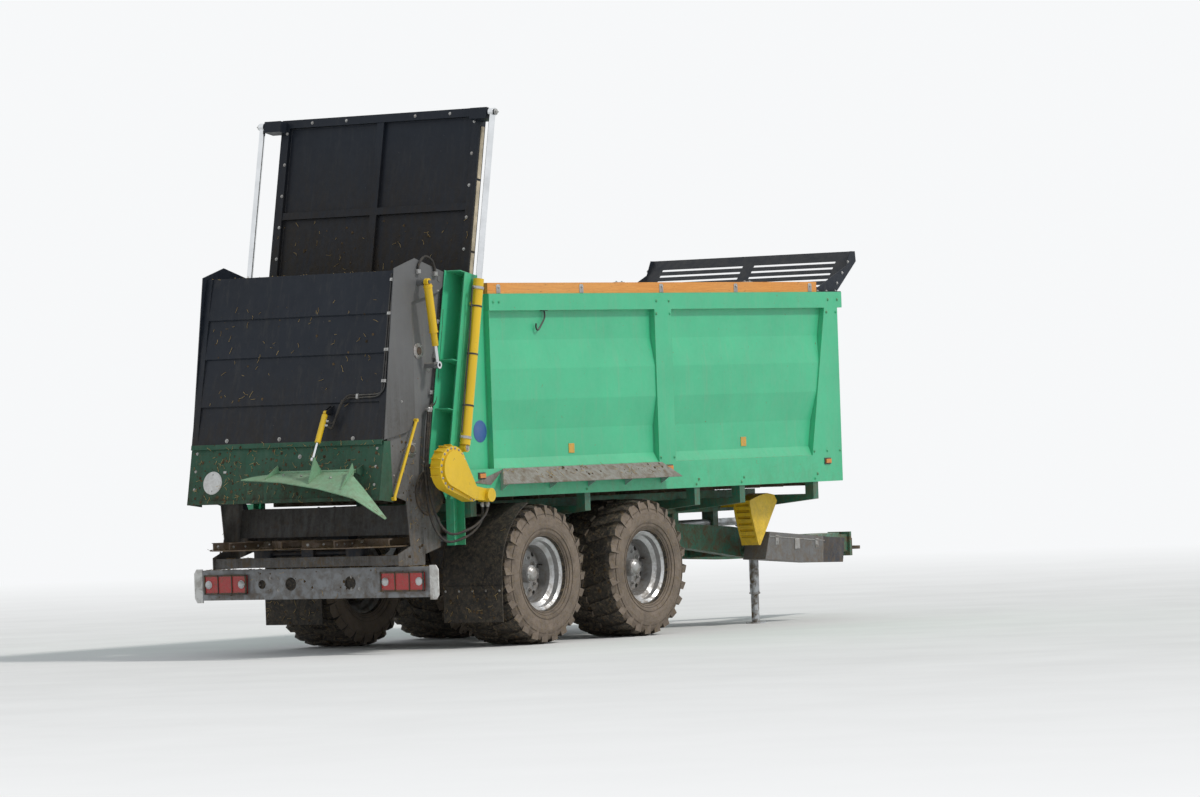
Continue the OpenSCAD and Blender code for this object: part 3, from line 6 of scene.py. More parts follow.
import bmesh
import bpy
from mathutils import Matrix, Vector
from mathutils.bvhtree import BVHTree


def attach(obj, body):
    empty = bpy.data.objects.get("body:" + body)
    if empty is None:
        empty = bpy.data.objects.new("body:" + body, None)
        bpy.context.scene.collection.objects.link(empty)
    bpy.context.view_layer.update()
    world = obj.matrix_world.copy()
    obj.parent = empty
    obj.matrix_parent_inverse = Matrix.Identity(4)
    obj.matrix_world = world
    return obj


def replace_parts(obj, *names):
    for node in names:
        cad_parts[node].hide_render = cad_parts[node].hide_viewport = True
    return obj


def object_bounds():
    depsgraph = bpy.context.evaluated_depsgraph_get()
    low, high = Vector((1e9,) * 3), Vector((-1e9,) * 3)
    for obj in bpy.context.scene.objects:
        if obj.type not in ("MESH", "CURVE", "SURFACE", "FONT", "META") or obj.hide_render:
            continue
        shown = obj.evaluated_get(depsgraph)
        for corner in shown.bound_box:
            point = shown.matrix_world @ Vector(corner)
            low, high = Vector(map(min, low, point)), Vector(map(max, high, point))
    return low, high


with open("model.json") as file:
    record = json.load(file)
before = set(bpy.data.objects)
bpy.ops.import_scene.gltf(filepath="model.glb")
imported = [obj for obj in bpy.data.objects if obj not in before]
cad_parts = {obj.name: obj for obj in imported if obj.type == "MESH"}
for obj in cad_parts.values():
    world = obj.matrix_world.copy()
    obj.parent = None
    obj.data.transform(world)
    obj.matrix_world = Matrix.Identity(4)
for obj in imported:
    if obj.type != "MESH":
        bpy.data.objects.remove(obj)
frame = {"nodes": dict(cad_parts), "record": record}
cad_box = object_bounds()
NODES = frame["nodes"]
OX = -2.215  # shift from places measured at the rear axle to the row's frame
SIDES = (1, -1)
random.seed(7)
scene = bpy.context.scene
scene.view_settings.view_transform = "Standard"

# Camera
# Fitted to the photo: the focal length in its pixels, the view's angles and the eye
F_PX, PHOTO_WIDTH_PX = 6671.48, 1200.0
SENSOR_MM = 36.0
AZ, EL, ROLL = math.radians(34.98), math.radians(-0.239), math.radians(-1.946)
EYE = Vector((-45.183 + OX, -33.445, 1.794))


def make_camera():
    fwd = Vector((math.cos(AZ) * math.cos(EL), math.sin(AZ) * math.cos(EL), -math.sin(EL)))
    right = Vector((math.sin(AZ), -math.cos(AZ), 0.0))
    up = right.cross(fwd)
    cr, sr = math.cos(ROLL), math.sin(ROLL)
    r2, u2 = cr * right + sr * up, -sr * right + cr * up
    cam = bpy.data.cameras.new("camera")
    cam.sensor_width = SENSOR_MM
    cam.lens = F_PX * SENSOR_MM / PHOTO_WIDTH_PX
    cam.clip_end = 500.0
    obj = bpy.data.objects.new("camera", cam)
    rot = Matrix((r2, u2, -fwd)).transposed().to_4x4()
    obj.matrix_world = Matrix.Translation(EYE) @ rot
    scene.collection.objects.link(obj)
    scene.camera = obj


make_camera()


# Materials
EDGE_RADIUS = 0.006
SOCKETS = {"specular": "Specular IOR Level", "coat": "Coat Weight", "coat_rough": "Coat Roughness"}


class Graph:
    """Small helper round one material's nodes."""

    def __init__(self, name):
        self.mat = bpy.data.materials.new(name)
        self.mat.use_nodes = True
        self.t = self.mat.node_tree
        self.bsdf = self.t.nodes["Principled BSDF"]
        coord = self.node("ShaderNodeTexCoord")
        self.p = coord.outputs["Object"]
        self.n = coord.outputs["Normal"]

    def node(self, kind, **attrs):
        n = self.t.nodes.new(kind)
        for k, v in attrs.items():
            setattr(n, k, v)
        return n

    def link(self, a, b):
        self.t.links.new(a, b)

    def put(self, socket, value):
        if hasattr(value, "is_linked") or hasattr(value, "links"):
            self.link(value, socket)
        else:
            socket.default_value = value

    def scaled(self, sx, sy, sz):
        m = self.node("ShaderNodeMapping")
        m.inputs["Scale"].default_value = (sx, sy, sz)
        self.link(self.p, m.inputs["Vector"])
        return m.outputs["Vector"]

    def noise(self, scale, detail=4.0, rough=0.55, vec=None, distort=0.0):
        n = self.node("ShaderNodeTexNoise")
        values = {"Scale": scale, "Detail": detail, "Roughness": rough, "Distortion": distort}
        for name, value in values.items():
            n.inputs[name].default_value = value
        self.link(vec if vec is not None else self.p, n.inputs["Vector"])
        return n.outputs["Fac"]

    def ramp(self, fac, lo, hi, a=0.0, b=1.0):
        n = self.node("ShaderNodeMapRange", clamp=True)
        self.put(n.inputs["Value"], fac)
        for name, value in {"From Min": lo, "From Max": hi, "To Min": a, "To Max": b}.items():
            n.inputs[name].default_value = value
        return n.outputs["Result"]

    def math(self, op, a, b=0.0):
        n = self.node("ShaderNodeMath", operation=op)
        self.put(n.inputs[0], a)
        self.put(n.inputs[1], b)
        return n.outputs[0]

    def times(self, a, b):
        return self.math("MULTIPLY", a, b)

    def plus(self, a, b):
        return self.math("ADD", a, b)

    def most(self, a, b):
        return self.math("MAXIMUM", a, b)

    def mix(self, fac, a, b):
        n = self.node("ShaderNodeMix", data_type="RGBA")
        self.put(n.inputs[0], fac)
        self.put(n.inputs[6], a if hasattr(a, "links") else (*a, 1.0))
        self.put(n.inputs[7], b if hasattr(b, "links") else (*b, 1.0))
        return n.outputs[2]

    def axis(self, i, of=None):
        n = self.node("ShaderNodeSeparateXYZ")
        self.link(of or self.p, n.inputs[0])
        return n.outputs[i]

    def side(self):
        """Distance from the middle of the machine."""
        return self.math("ABSOLUTE", self.axis(1))

    def worn_edges(self):
        """Where the surface turns sharply within a few millimetres."""
        bevel = self.node("ShaderNodeBevel", samples=4)
        bevel.inputs["Radius"].default_value = EDGE_RADIUS
        geo = self.node("ShaderNodeNewGeometry")
        dot = self.node("ShaderNodeVectorMath", operation="DOT_PRODUCT")
        self.link(bevel.outputs["Normal"], dot.inputs[0])
        self.link(geo.outputs["True Normal"], dot.inputs[1])
        return self.ramp(dot.outputs["Value"], 0.985, 0.86)

    def surface(self, color, rough, **values):
        """Colour and roughness, and constants by the socket's name."""
        self.link(color, self.bsdf.inputs["Base Color"])
        self.link(rough, self.bsdf.inputs["Roughness"])
        for name, value in values.items():
            self.bsdf.inputs[SOCKETS[name]].default_value = value

    def bump(self, height, strength, distance):
        n = self.node("ShaderNodeBump")
        n.inputs["Strength"].default_value = strength
        n.inputs["Distance"].default_value = distance
        self.link(height, n.inputs["Height"])
        self.link(n.outputs["Normal"], self.bsdf.inputs["Normal"])


DIRT = (0.125, 0.085, 0.045)
DUST = (0.33, 0.29, 0.22)
FILM = (0.040, 0.029, 0.017)


def shaded(g, tone, color, dark):
    """A colour with its own darker tone."""
    c = Vector(color)
    return g.mix(tone, tuple(c * dark), tuple(c))


def painted(name, base, dark=0.78, rough=0.38, dirt=0.35, dirt_top=1.6, dust=0.2, fade=0.12, chips=0.0,
            chip_color=(0.2, 0.12, 0.07), film=None, second=None, edges=0.6, gloss=0.5):
    """Enamel with tone changes, top dust, drip streaks, low splashes, chips, worn edges and a manure film.

    film is the height where it starts, the height where it is whole, and its strength.
    second is a mask's function and the colour that it brings.
    """
    g = Graph(name)
    tone = g.ramp(g.noise(1.7, 5.0, 0.6), 0.3, 0.72)
    col = shaded(g, tone, base, dark)
    if second:
        col = g.mix(second[0](g), col, shaded(g, tone, second[1], dark))
    bleach = g.ramp(g.noise(9.0, 6.0, 0.62), 0.42, 0.75, 0.0, fade)
    col = g.mix(bleach, col, tuple(Vector(base) * 0.55 + Vector((0.16, 0.16, 0.15))))
    streak = g.ramp(g.noise(3.1, 7.0, 0.7, g.scaled(5.5, 5.5, 0.35)), 0.52, 0.80, 0.0, dust * 1.4)
    col = g.mix(streak, col, DUST)
    lying = g.ramp(g.axis(2, g.n), 0.35, 0.95)
    top = g.times(lying, g.ramp(g.noise(14.0, 5.0), 0.32, 0.62, 0.25, 1.0))
    col = g.mix(g.times(top, min(1.0, dust * 2.2)), col, DUST)
    rust_fac = None
    if chips:
        level = 0.665 - chips * 0.06
        rust_fac = g.ramp(g.noise(38.0, 7.0, 0.75, distort=0.8), level, level + 0.02)
    if edges:
        worn = g.times(g.worn_edges(), g.ramp(g.noise(17.0, 7.0, 0.7), 0.46, 0.60, 0.0, edges))
        rust_fac = g.most(rust_fac, worn) if rust_fac else worn
    if rust_fac:
        col = g.mix(rust_fac, col, chip_color)
    low = g.ramp(g.axis(2), dirt_top, 0.25)
    spots = g.ramp(g.noise(11.0, 8.0, 0.72, distort=0.6), 0.44, 0.62)
    fine = g.ramp(g.noise(55.0, 6.0, 0.7), 0.52, 0.60)
    splash = g.most(g.times(spots, low), g.times(fine, g.times(low, 0.8)))
    mud = g.ramp(g.times(splash, dirt * 2.0), 0.0, 1.0)
    if film:
        start, whole, strength = film
        runs = g.ramp(g.noise(4.0, 8.0, 0.72, g.scaled(4.5, 4.5, 0.30)), 0.36, 0.60, 0.25, 1.0)
        clots = g.ramp(g.noise(26.0, 8.0, 0.75, distort=0.4), 0.40, 0.58, 0.55, 1.0)
        caked = g.times(g.times(runs, clots), g.ramp(g.axis(2), start, whole, 0.0, strength))
        col = g.mix(caked, col, FILM)
        mud = g.most(mud, g.times(caked, 0.8))
        col = g.mix(g.math("SUBTRACT", mud, caked), col, DIRT)
    else:
        col = g.mix(mud, col, DIRT)
    rgh = g.ramp(mud, 0.0, 1.0, rough, 0.92)
    rgh = g.plus(rgh, g.ramp(g.noise(23.0, 5.0), 0.3, 0.7, -0.07, 0.12))
    if rust_fac:
        rgh = g.most(rgh, g.times(rust_fac, 0.8))
    g.surface(col, rgh, specular=gloss, coat=0.08, coat_rough=0.25)
    wave = g.plus(g.noise(2.6, 2.0), g.times(g.noise(240.0, 3.0), 0.05))
    g.bump(g.plus(wave, g.times(mud, 0.6)), 0.55, 0.004)
    return g.mat


def bare_steel(name, base, rough, metallic, dirt=0.4, dirt_top=1.6, spangle=0.0, rust=0.0, second=None,
               scratch=0.0):
    """Zinc, chrome or scoured steel with spangle, film, scratches and rust; second is a painted patch."""
    g = Graph(name)
    b = Vector(base)
    tone = g.ramp(g.noise(6.0, 6.0, 0.65), 0.3, 0.7)
    col = g.mix(tone, tuple(b * 0.78), tuple(b))
    if spangle:
        v = g.node("ShaderNodeTexVoronoi")
        v.inputs["Scale"].default_value = 55.0
        g.link(g.p, v.inputs["Vector"])
        col = g.mix(g.times(g.ramp(v.outputs["Distance"], 0.0, 0.8), spangle), col, tuple(b * 1.25))
    if scratch:
        s = g.ramp(g.noise(30.0, 6.0, 0.7, g.scaled(0.4, 6.0, 6.0)), 0.54, 0.66, 0.0, scratch)
        col = g.mix(s, col, tuple(b * 1.7))
    if rust:
        r = g.ramp(g.noise(7.0, 9.0, 0.75, distort=0.5), 0.50, 0.66, 0.0, rust)
        col = g.mix(r, col, (0.16, 0.065, 0.025))
    metal = metallic
    if second:
        patch = second[0](g)
        col = g.mix(patch, col, second[1])
        metal = g.ramp(patch, 0.0, 1.0, metallic, 0.0)
    low = g.ramp(g.axis(2), dirt_top, 0.3)
    spots = g.ramp(g.noise(13.0, 8.0, 0.7, distort=0.5), 0.43, 0.62)
    mud = g.ramp(g.times(g.times(spots, low), dirt * 2.0), 0.0, 1.0)
    col = g.mix(mud, col, DIRT)
    uneven = g.ramp(g.noise(31.0, 5.0), 0.3, 0.7, -0.06, 0.10)
    g.surface(col, g.plus(g.ramp(mud, 0.0, 1.0, rough, 0.9), uneven))
    g.link(g.times(g.ramp(mud, 0.0, 1.0, 1.0, 0.0), metal), g.bsdf.inputs["Metallic"])
    g.bump(g.plus(g.noise(70.0, 4.0), g.times(mud, 1.4)), 0.35, 0.002)
    return g.mat


def rubber(name, base=(0.022, 0.021, 0.020), dirt=0.7, dusty=0.5, rough=0.78, sidewall=None):
    """Moulded rubber with dust and dried splashes; sidewall is the dust on faces that look aside."""
    g = Graph(name)
    b = Vector(base)
    col = g.mix(g.ramp(g.noise(5.0, 6.0), 0.3, 0.7), tuple(b * 0.7), tuple(b * 1.6))
    pores = g.ramp(g.noise(18.0, 8.0, 0.7, distort=0.4), 0.40, 0.66, 0.0, dusty)
    col = g.mix(pores, col, (0.16, 0.13, 0.095))
    if sidewall:
        aside = g.ramp(g.math("ABSOLUTE", g.axis(1, g.n)), 0.35, 0.8)
        cover = g.ramp(g.noise(6.0, 8.0, 0.7, distort=0.3), 0.28, 0.62, 0.35, 0.92)
        col = g.mix(g.times(aside, cover), col, sidewall)
    clod = g.ramp(g.noise(30.0, 8.0, 0.75, distort=0.7), 0.50, 0.60)
    mud = g.times(clod, dirt)
    col = g.mix(mud, col, (0.21, 0.16, 0.10))
    g.surface(col, g.ramp(mud, 0.0, 1.0, rough, 0.96), specular=0.3)
    h = g.plus(g.times(g.noise(160.0, 4.0), 0.2), g.times(mud, 1.5))
    g.bump(h, 0.6, 0.004)
    return g.mat


def wood(name):
    """Oiled softwood boards with long grain, pale patches and dark knots."""
    g = Graph(name)
    grain = g.noise(7.0, 9.0, 0.72, g.scaled(0.6, 26.0, 22.0), 0.7)
    col = g.mix(g.ramp(grain, 0.3, 0.7), (0.56, 0.19, 0.03), (0.84, 0.37, 0.075))
    col = g.mix(g.ramp(g.noise(0.9, 3.0), 0.35, 0.7, 0.0, 0.35), col, (0.74, 0.42, 0.16))
    knots = g.ramp(g.noise(40.0, 6.0, 0.7, g.scaled(0.3, 3.0, 3.0)), 0.60, 0.68, 0.0, 0.7)
    col = g.mix(knots, col, (0.12, 0.07, 0.03))
    g.surface(col, g.ramp(grain, 0.2, 0.8, 0.5, 0.8))
    g.bump(grain, 0.5, 0.003)
    return g.mat


def lens(name, base, second=None, muck=0.5):
    """Ribbed lamp plastic under a thin film."""
    g = Graph(name)
    v = g.node("ShaderNodeTexWave", wave_type="BANDS", bands_direction="Y")
    v.inputs["Scale"].default_value = 40.0
    g.link(g.p, v.inputs["Vector"])
    col = shaded(g, v.outputs["Fac"], base, 0.6)
    if second:
        col = g.mix(second[0](g), col, shaded(g, v.outputs["Fac"], second[1], 0.6))
    mud = g.ramp(g.noise(24.0, 7.0, 0.7), 0.5, 0.64, 0.0, muck)
    col = g.mix(mud, col, DIRT)
    g.surface(col, g.ramp(mud, 0.0, 0.6, 0.12, 0.6), coat=0.5)
    g.bump(v.outputs["Fac"], 0.4, 0.002)
    return g.mat


def litter(name, dark, light, rough):
    """Loose straw or dried manure, each strand in its own tone."""
    g = Graph(name)
    col = g.mix(g.ramp(g.noise(21.0, 3.0), 0.35, 0.65), dark, light)
    col = g.mix(g.ramp(g.noise(130.0, 5.0), 0.45, 0.7, 0.0, 0.6), col, dark)
    g.surface(col, g.ramp(g.noise(60.0, 4.0), 0.3, 0.7, rough - 0.1, rough + 0.08), specular=0.25)
    g.bump(g.noise(180.0, 6.0, 0.7), 0.6, 0.002)
    return g.mat


# Where a piece changes its paint, in the row's frame
AMBER_FROM_X = -3.3
CHEEK_Y = 0.987
MARKER_Y = 1.178
RIM_DISH_Y, RIM_FLANGE_Y = 1.02, 1.14
END_BOX_X = 2.518
# Paints and bare metals in linear light
RUST = (0.13, 0.055, 0.022)
GREEN = (0.062, 0.52, 0.265)
# The dark paint, set darker than the paint itself so that the shaded rear faces of the hood and the gate look
# deeper: dark paint and painted shade
BLACK = (0.017, 0.022, 0.032)
GREY = (0.15, 0.152, 0.155)
BARE = (0.07, 0.068, 0.066)

M = {
    "body_green": painted("body_green", GREEN, dark=0.84, dust=0.13, dirt=0.35, chips=0.22),
    "frame_green": painted("frame_green", (0.022, 0.17, 0.105), dust=0.22, dirt=0.7, dirt_top=1.9, edges=0.4),
    "anthracite": painted("anthracite", BLACK, rough=0.45, dust=0.06, dirt=0.25, fade=0.03, gloss=0.16,
                          chips=0.15, chip_color=BARE),
    "side_grey": painted("side_grey", GREY, rough=0.5, dust=0.2, dirt=0.9, dirt_top=1.7,
                         film=(1.9, 1.25, 0.75), chips=0.3, chip_color=RUST),
    "floor_steel": bare_steel("floor_steel", (0.22, 0.18, 0.14), 0.5, 0.5, dirt=1.0, dirt_top=2.4, rust=0.5,
                              scratch=0.5),
    "beater_steel": bare_steel("beater_steel", (0.17, 0.13, 0.10), 0.55, 0.45, dirt=0.8, dirt_top=3.5,
                               rust=0.6, scratch=0.6),
    "yellow": painted("yellow", (0.80, 0.52, 0.008), dark=0.86, dust=0.05, dirt=0.3, fade=0.04, chips=0.2),
    "chrome": bare_steel("chrome", (0.82, 0.84, 0.86), 0.12, 1.0, dirt=0.0),
    "galvanised": bare_steel("galvanised", (0.50, 0.52, 0.54), 0.42, 0.75, dirt=0.55, dirt_top=1.3,
                             spangle=0.25),
    "rim_silver": bare_steel("rim_silver", (0.66, 0.67, 0.68), 0.3, 0.9, dirt=0.35, dirt_top=1.2, second=(
        lambda g: g.ramp(g.side(), RIM_FLANGE_Y, RIM_DISH_Y, 0.0, 0.65), (0.16, 0.15, 0.14))),
    "black_steel": painted("black_steel", (0.022, 0.022, 0.024), rough=0.5, dust=0.3, dirt=0.8, dirt_top=2.0,
                           edges=0.3),
    "black_rubber": rubber("black_rubber", dirt=0.35, dusty=0.35),
    "tyre": rubber("tyre", dirt=0.7, dusty=0.45, sidewall=(0.25, 0.20, 0.16)),
    "timber": wood("timber"),
    "lamp_red": lens("lamp_red", (0.55, 0.012, 0.012), second=(
        lambda g: g.ramp(g.axis(0), AMBER_FROM_X - 0.01, AMBER_FROM_X), (0.75, 0.24, 0.012))),
    "deflector_green": painted("deflector_green", (0.20, 0.43, 0.25), rough=0.6, dust=0.15, dirt=0.35,
                               dirt_top=2.2, fade=0.3, chips=0.4, chip_color=RUST, edges=0.9),
}
OWN = {
    "fenders": bare_steel("fender_finish", (0.27, 0.255, 0.235), 0.5, 0.55, dirt=0.8, dirt_top=2.2,
                          spangle=0.15),
    # The gate and the hood take the dark paint with its painted shade
    "gate_panel": painted("gate_paint_and_shade", BLACK, rough=0.45, dust=0.03, dirt=0.1, fade=0.02, gloss=0.14,
                          chips=0.12, chip_color=BARE, film=(4.3, 3.1, 0.9)),
    "hood_panel": painted("hood_paint_and_shade", BLACK, rough=0.42, dust=0.06, dirt=0.2, fade=0.03, gloss=0.16,
                          chips=0.2, chip_color=(0.08, 0.078, 0.075), film=(2.5, 1.7, 0.6), second=(
                              lambda g: g.ramp(g.side(), CHEEK_Y - 0.0005, CHEEK_Y), GREY)),
    # The lower panel's green, about a fifth of the body's, is soil and also painted shade of this rear face
    "hood_lower_panel": painted("lower_panel_soil_and_shade", (0.020, 0.105, 0.062), rough=0.5, dust=0.08, gloss=0.25,
                                dirt=0.5, dirt_top=2.2, chips=0.3, film=(1.85, 1.25, 1.0)),
    "light_bar": bare_steel("light_bar_finish", (0.25, 0.26, 0.27), 0.45, 0.6, dirt=0.45, dirt_top=0.9,
                            spangle=0.1, second=(
                                lambda g: g.ramp(g.side(), MARKER_Y - 0.001, MARKER_Y), (0.72, 0.71, 0.68))),
    "tool_box": painted("tool_box_finish", GREY, rough=0.5, dust=0.2, dirt=0.5, dirt_top=1.2, second=(
        lambda g: g.ramp(g.axis(0), END_BOX_X - 0.004, END_BOX_X), (0.016, 0.020, 0.032))),
}
EXTRA = {
    "zinc_bolts": bare_steel("zinc_bolts", (0.46, 0.46, 0.45), 0.38, 0.8, dirt=0.4, dirt_top=1.6, rust=0.35),
    "painted_bolts": painted("painted_bolts", GREEN, dust=0.1, dirt=0.3, edges=0.9),
    "hose_rubber": rubber("hose_rubber", (0.018, 0.018, 0.019), dirt=0.25, dusty=0.25, rough=0.6),
    "sign_white": painted("sign_white", (0.78, 0.78, 0.76), dust=0.15, dirt=0.35, dirt_top=2.2, fade=0.1,
                          edges=0.3),
    "sign_blue": painted("sign_blue", (0.035, 0.12, 0.36), dust=0.1, dirt=0.2, dirt_top=2.2, fade=0.2,
                         edges=0.3),
    "reflector": lens("reflector", (0.85, 0.45, 0.02), muck=0.3),
    "clear_lens": lens("clear_lens", (0.75, 0.76, 0.76), muck=0.3),
    "straw": litter("straw", (0.22, 0.14, 0.05), (0.62, 0.45, 0.20), 0.7),
    "manure": litter("manure", (0.035, 0.024, 0.013), (0.15, 0.10, 0.052), 0.88),
    "slide_plastic": rubber("slide_plastic", (0.42, 0.36, 0.26), dirt=0.2, dusty=0.2, rough=0.5),
}

for sub in frame["record"]["subparts"]:
    obj = NODES[sub["node"]]
    obj.data.materials.clear()
    obj.data.materials.append(OWN.get(sub["node"], M[sub["material_slot"]]))

# A piece's finish by name: its material and the slot that it counts for
FINISH = {name: (mat, name) for name, mat in M.items()}
FINISH |= {
    "zinc": (EXTRA["zinc_bolts"], "galvanised"),
    "zinc_rim": (EXTRA["zinc_bolts"], "rim_silver"),
    "zinc_blade": (EXTRA["zinc_bolts"], "beater_steel"),
    "hose": (EXTRA["hose_rubber"], "black_rubber"),
    "green_bolts": (EXTRA["painted_bolts"], "body_green"),
    "clear": (EXTRA["clear_lens"], "lamp_red"),
    "reflector": (EXTRA["reflector"], "lamp_red"),
    "blue": (EXTRA["sign_blue"], "side_grey"),
    "white": (EXTRA["sign_white"], "lamp_red"),
    "slide": (EXTRA["slide_plastic"], "black_rubber"),
    "cover": (M["black_steel"], "anthracite"),
    "gate_weld": (OWN["gate_panel"], "anthracite"),
    "straw": (EXTRA["straw"], "side_grey"),
    "blade_straw": (EXTRA["straw"], "beater_steel"),
    "cake": (EXTRA["manure"], "side_grey"),
    "blade_cake": (EXTRA["manure"], "beater_steel"),
    "tyre_cake": (EXTRA["manure"], "tyre"),
}

# Places on the machine and the shapes that pieces are made of
LEAN = math.radians(11.2)
SL, CL = math.sin(LEAN), math.cos(LEAN)
X, Y, Z = Vector((1, 0, 0)), Vector((0, 1, 0)), Vector((0, 0, 1))
GATE_X, GATE_Z = Vector((CL, 0, -SL)), Vector((SL, 0, CL))
SIDE_NAME = {1: "left", -1: "right"}


def C(x, y, z):
    """A point measured from the rear axle."""
    return Vector((x + OX, y, z))


def on_gate(u, v, y):
    """A point u up the gate's lean and v ahead of its plane."""
    return C(-1.013 + u * SL + v * CL, y, 1.365 + u * CL - v * SL)


def on_hood(v, y, s):
    """A point s down the hood's slope from its top rear edge and v ahead of its plane."""
    return C(-1.6 - s * SL + v * CL, y, 3.12 - s * CL - v * SL)


def basis(normal):
    """The unit normal and two directions square to it."""
    n = Vector(normal).normalized()
    a = n.orthogonal().normalized()
    return n, a, n.cross(a)


def circle(centre, a, b, r, sides, turn=0.0):
    angles = [turn + k * math.tau / sides for k in range(sides)]
    return [centre + (a * math.cos(t) + b * math.sin(t)) * r for t in angles]


def spokes(count, first=0.0, step=None):
    """Directions square to the cross axis, from an angle and by a step in degrees."""
    angles = [math.radians(first + k * (step or 360 / count)) for k in range(count)]
    return [Vector((math.cos(a), 0, math.sin(a))) for a in angles]


def bands(rows, sides, closed=False):
    """Faces between rows of points; closed joins the last row to the first."""
    faces = []
    for i in range(rows if closed else rows - 1):
        low, high = i * sides, (i + 1) % rows * sides
        faces += [[low + k, low + (k + 1) % sides, high + (k + 1) % sides, high + k] for k in range(sides)]
    return faces


def caps(rows, sides):
    """The faces that close the first and the last row."""
    return [[sides - 1 - k for k in range(sides)], [(rows - 1) * sides + k for k in range(sides)]]


def turned_points(centre, axis, profile, sides, turn=0.0):
    """Rings round an axis; a profile's rows are distance along the axis and radius."""
    n, a, b = basis(axis)
    return [p for z, r in profile for p in circle(Vector(centre) + n * z, a, b, r, sides, turn)]


def smooth_path(points, steps=8):
    """Catmull-Rom through given points."""
    p = [Vector(q) for q in points]
    out = []
    for i in range(len(p) - 1):
        a, b, c, d = p[max(i - 1, 0)], p[i], p[i + 1], p[min(i + 2, len(p) - 1)]
        for t in [k / steps for k in range(steps)]:
            square, cube = 2 * a - 5 * b + 4 * c - d, 3 * b - a - 3 * c + d
            out.append(0.5 * (2 * b + (c - a) * t + square * t * t + cube * t ** 3))
    return out + [p[-1]]


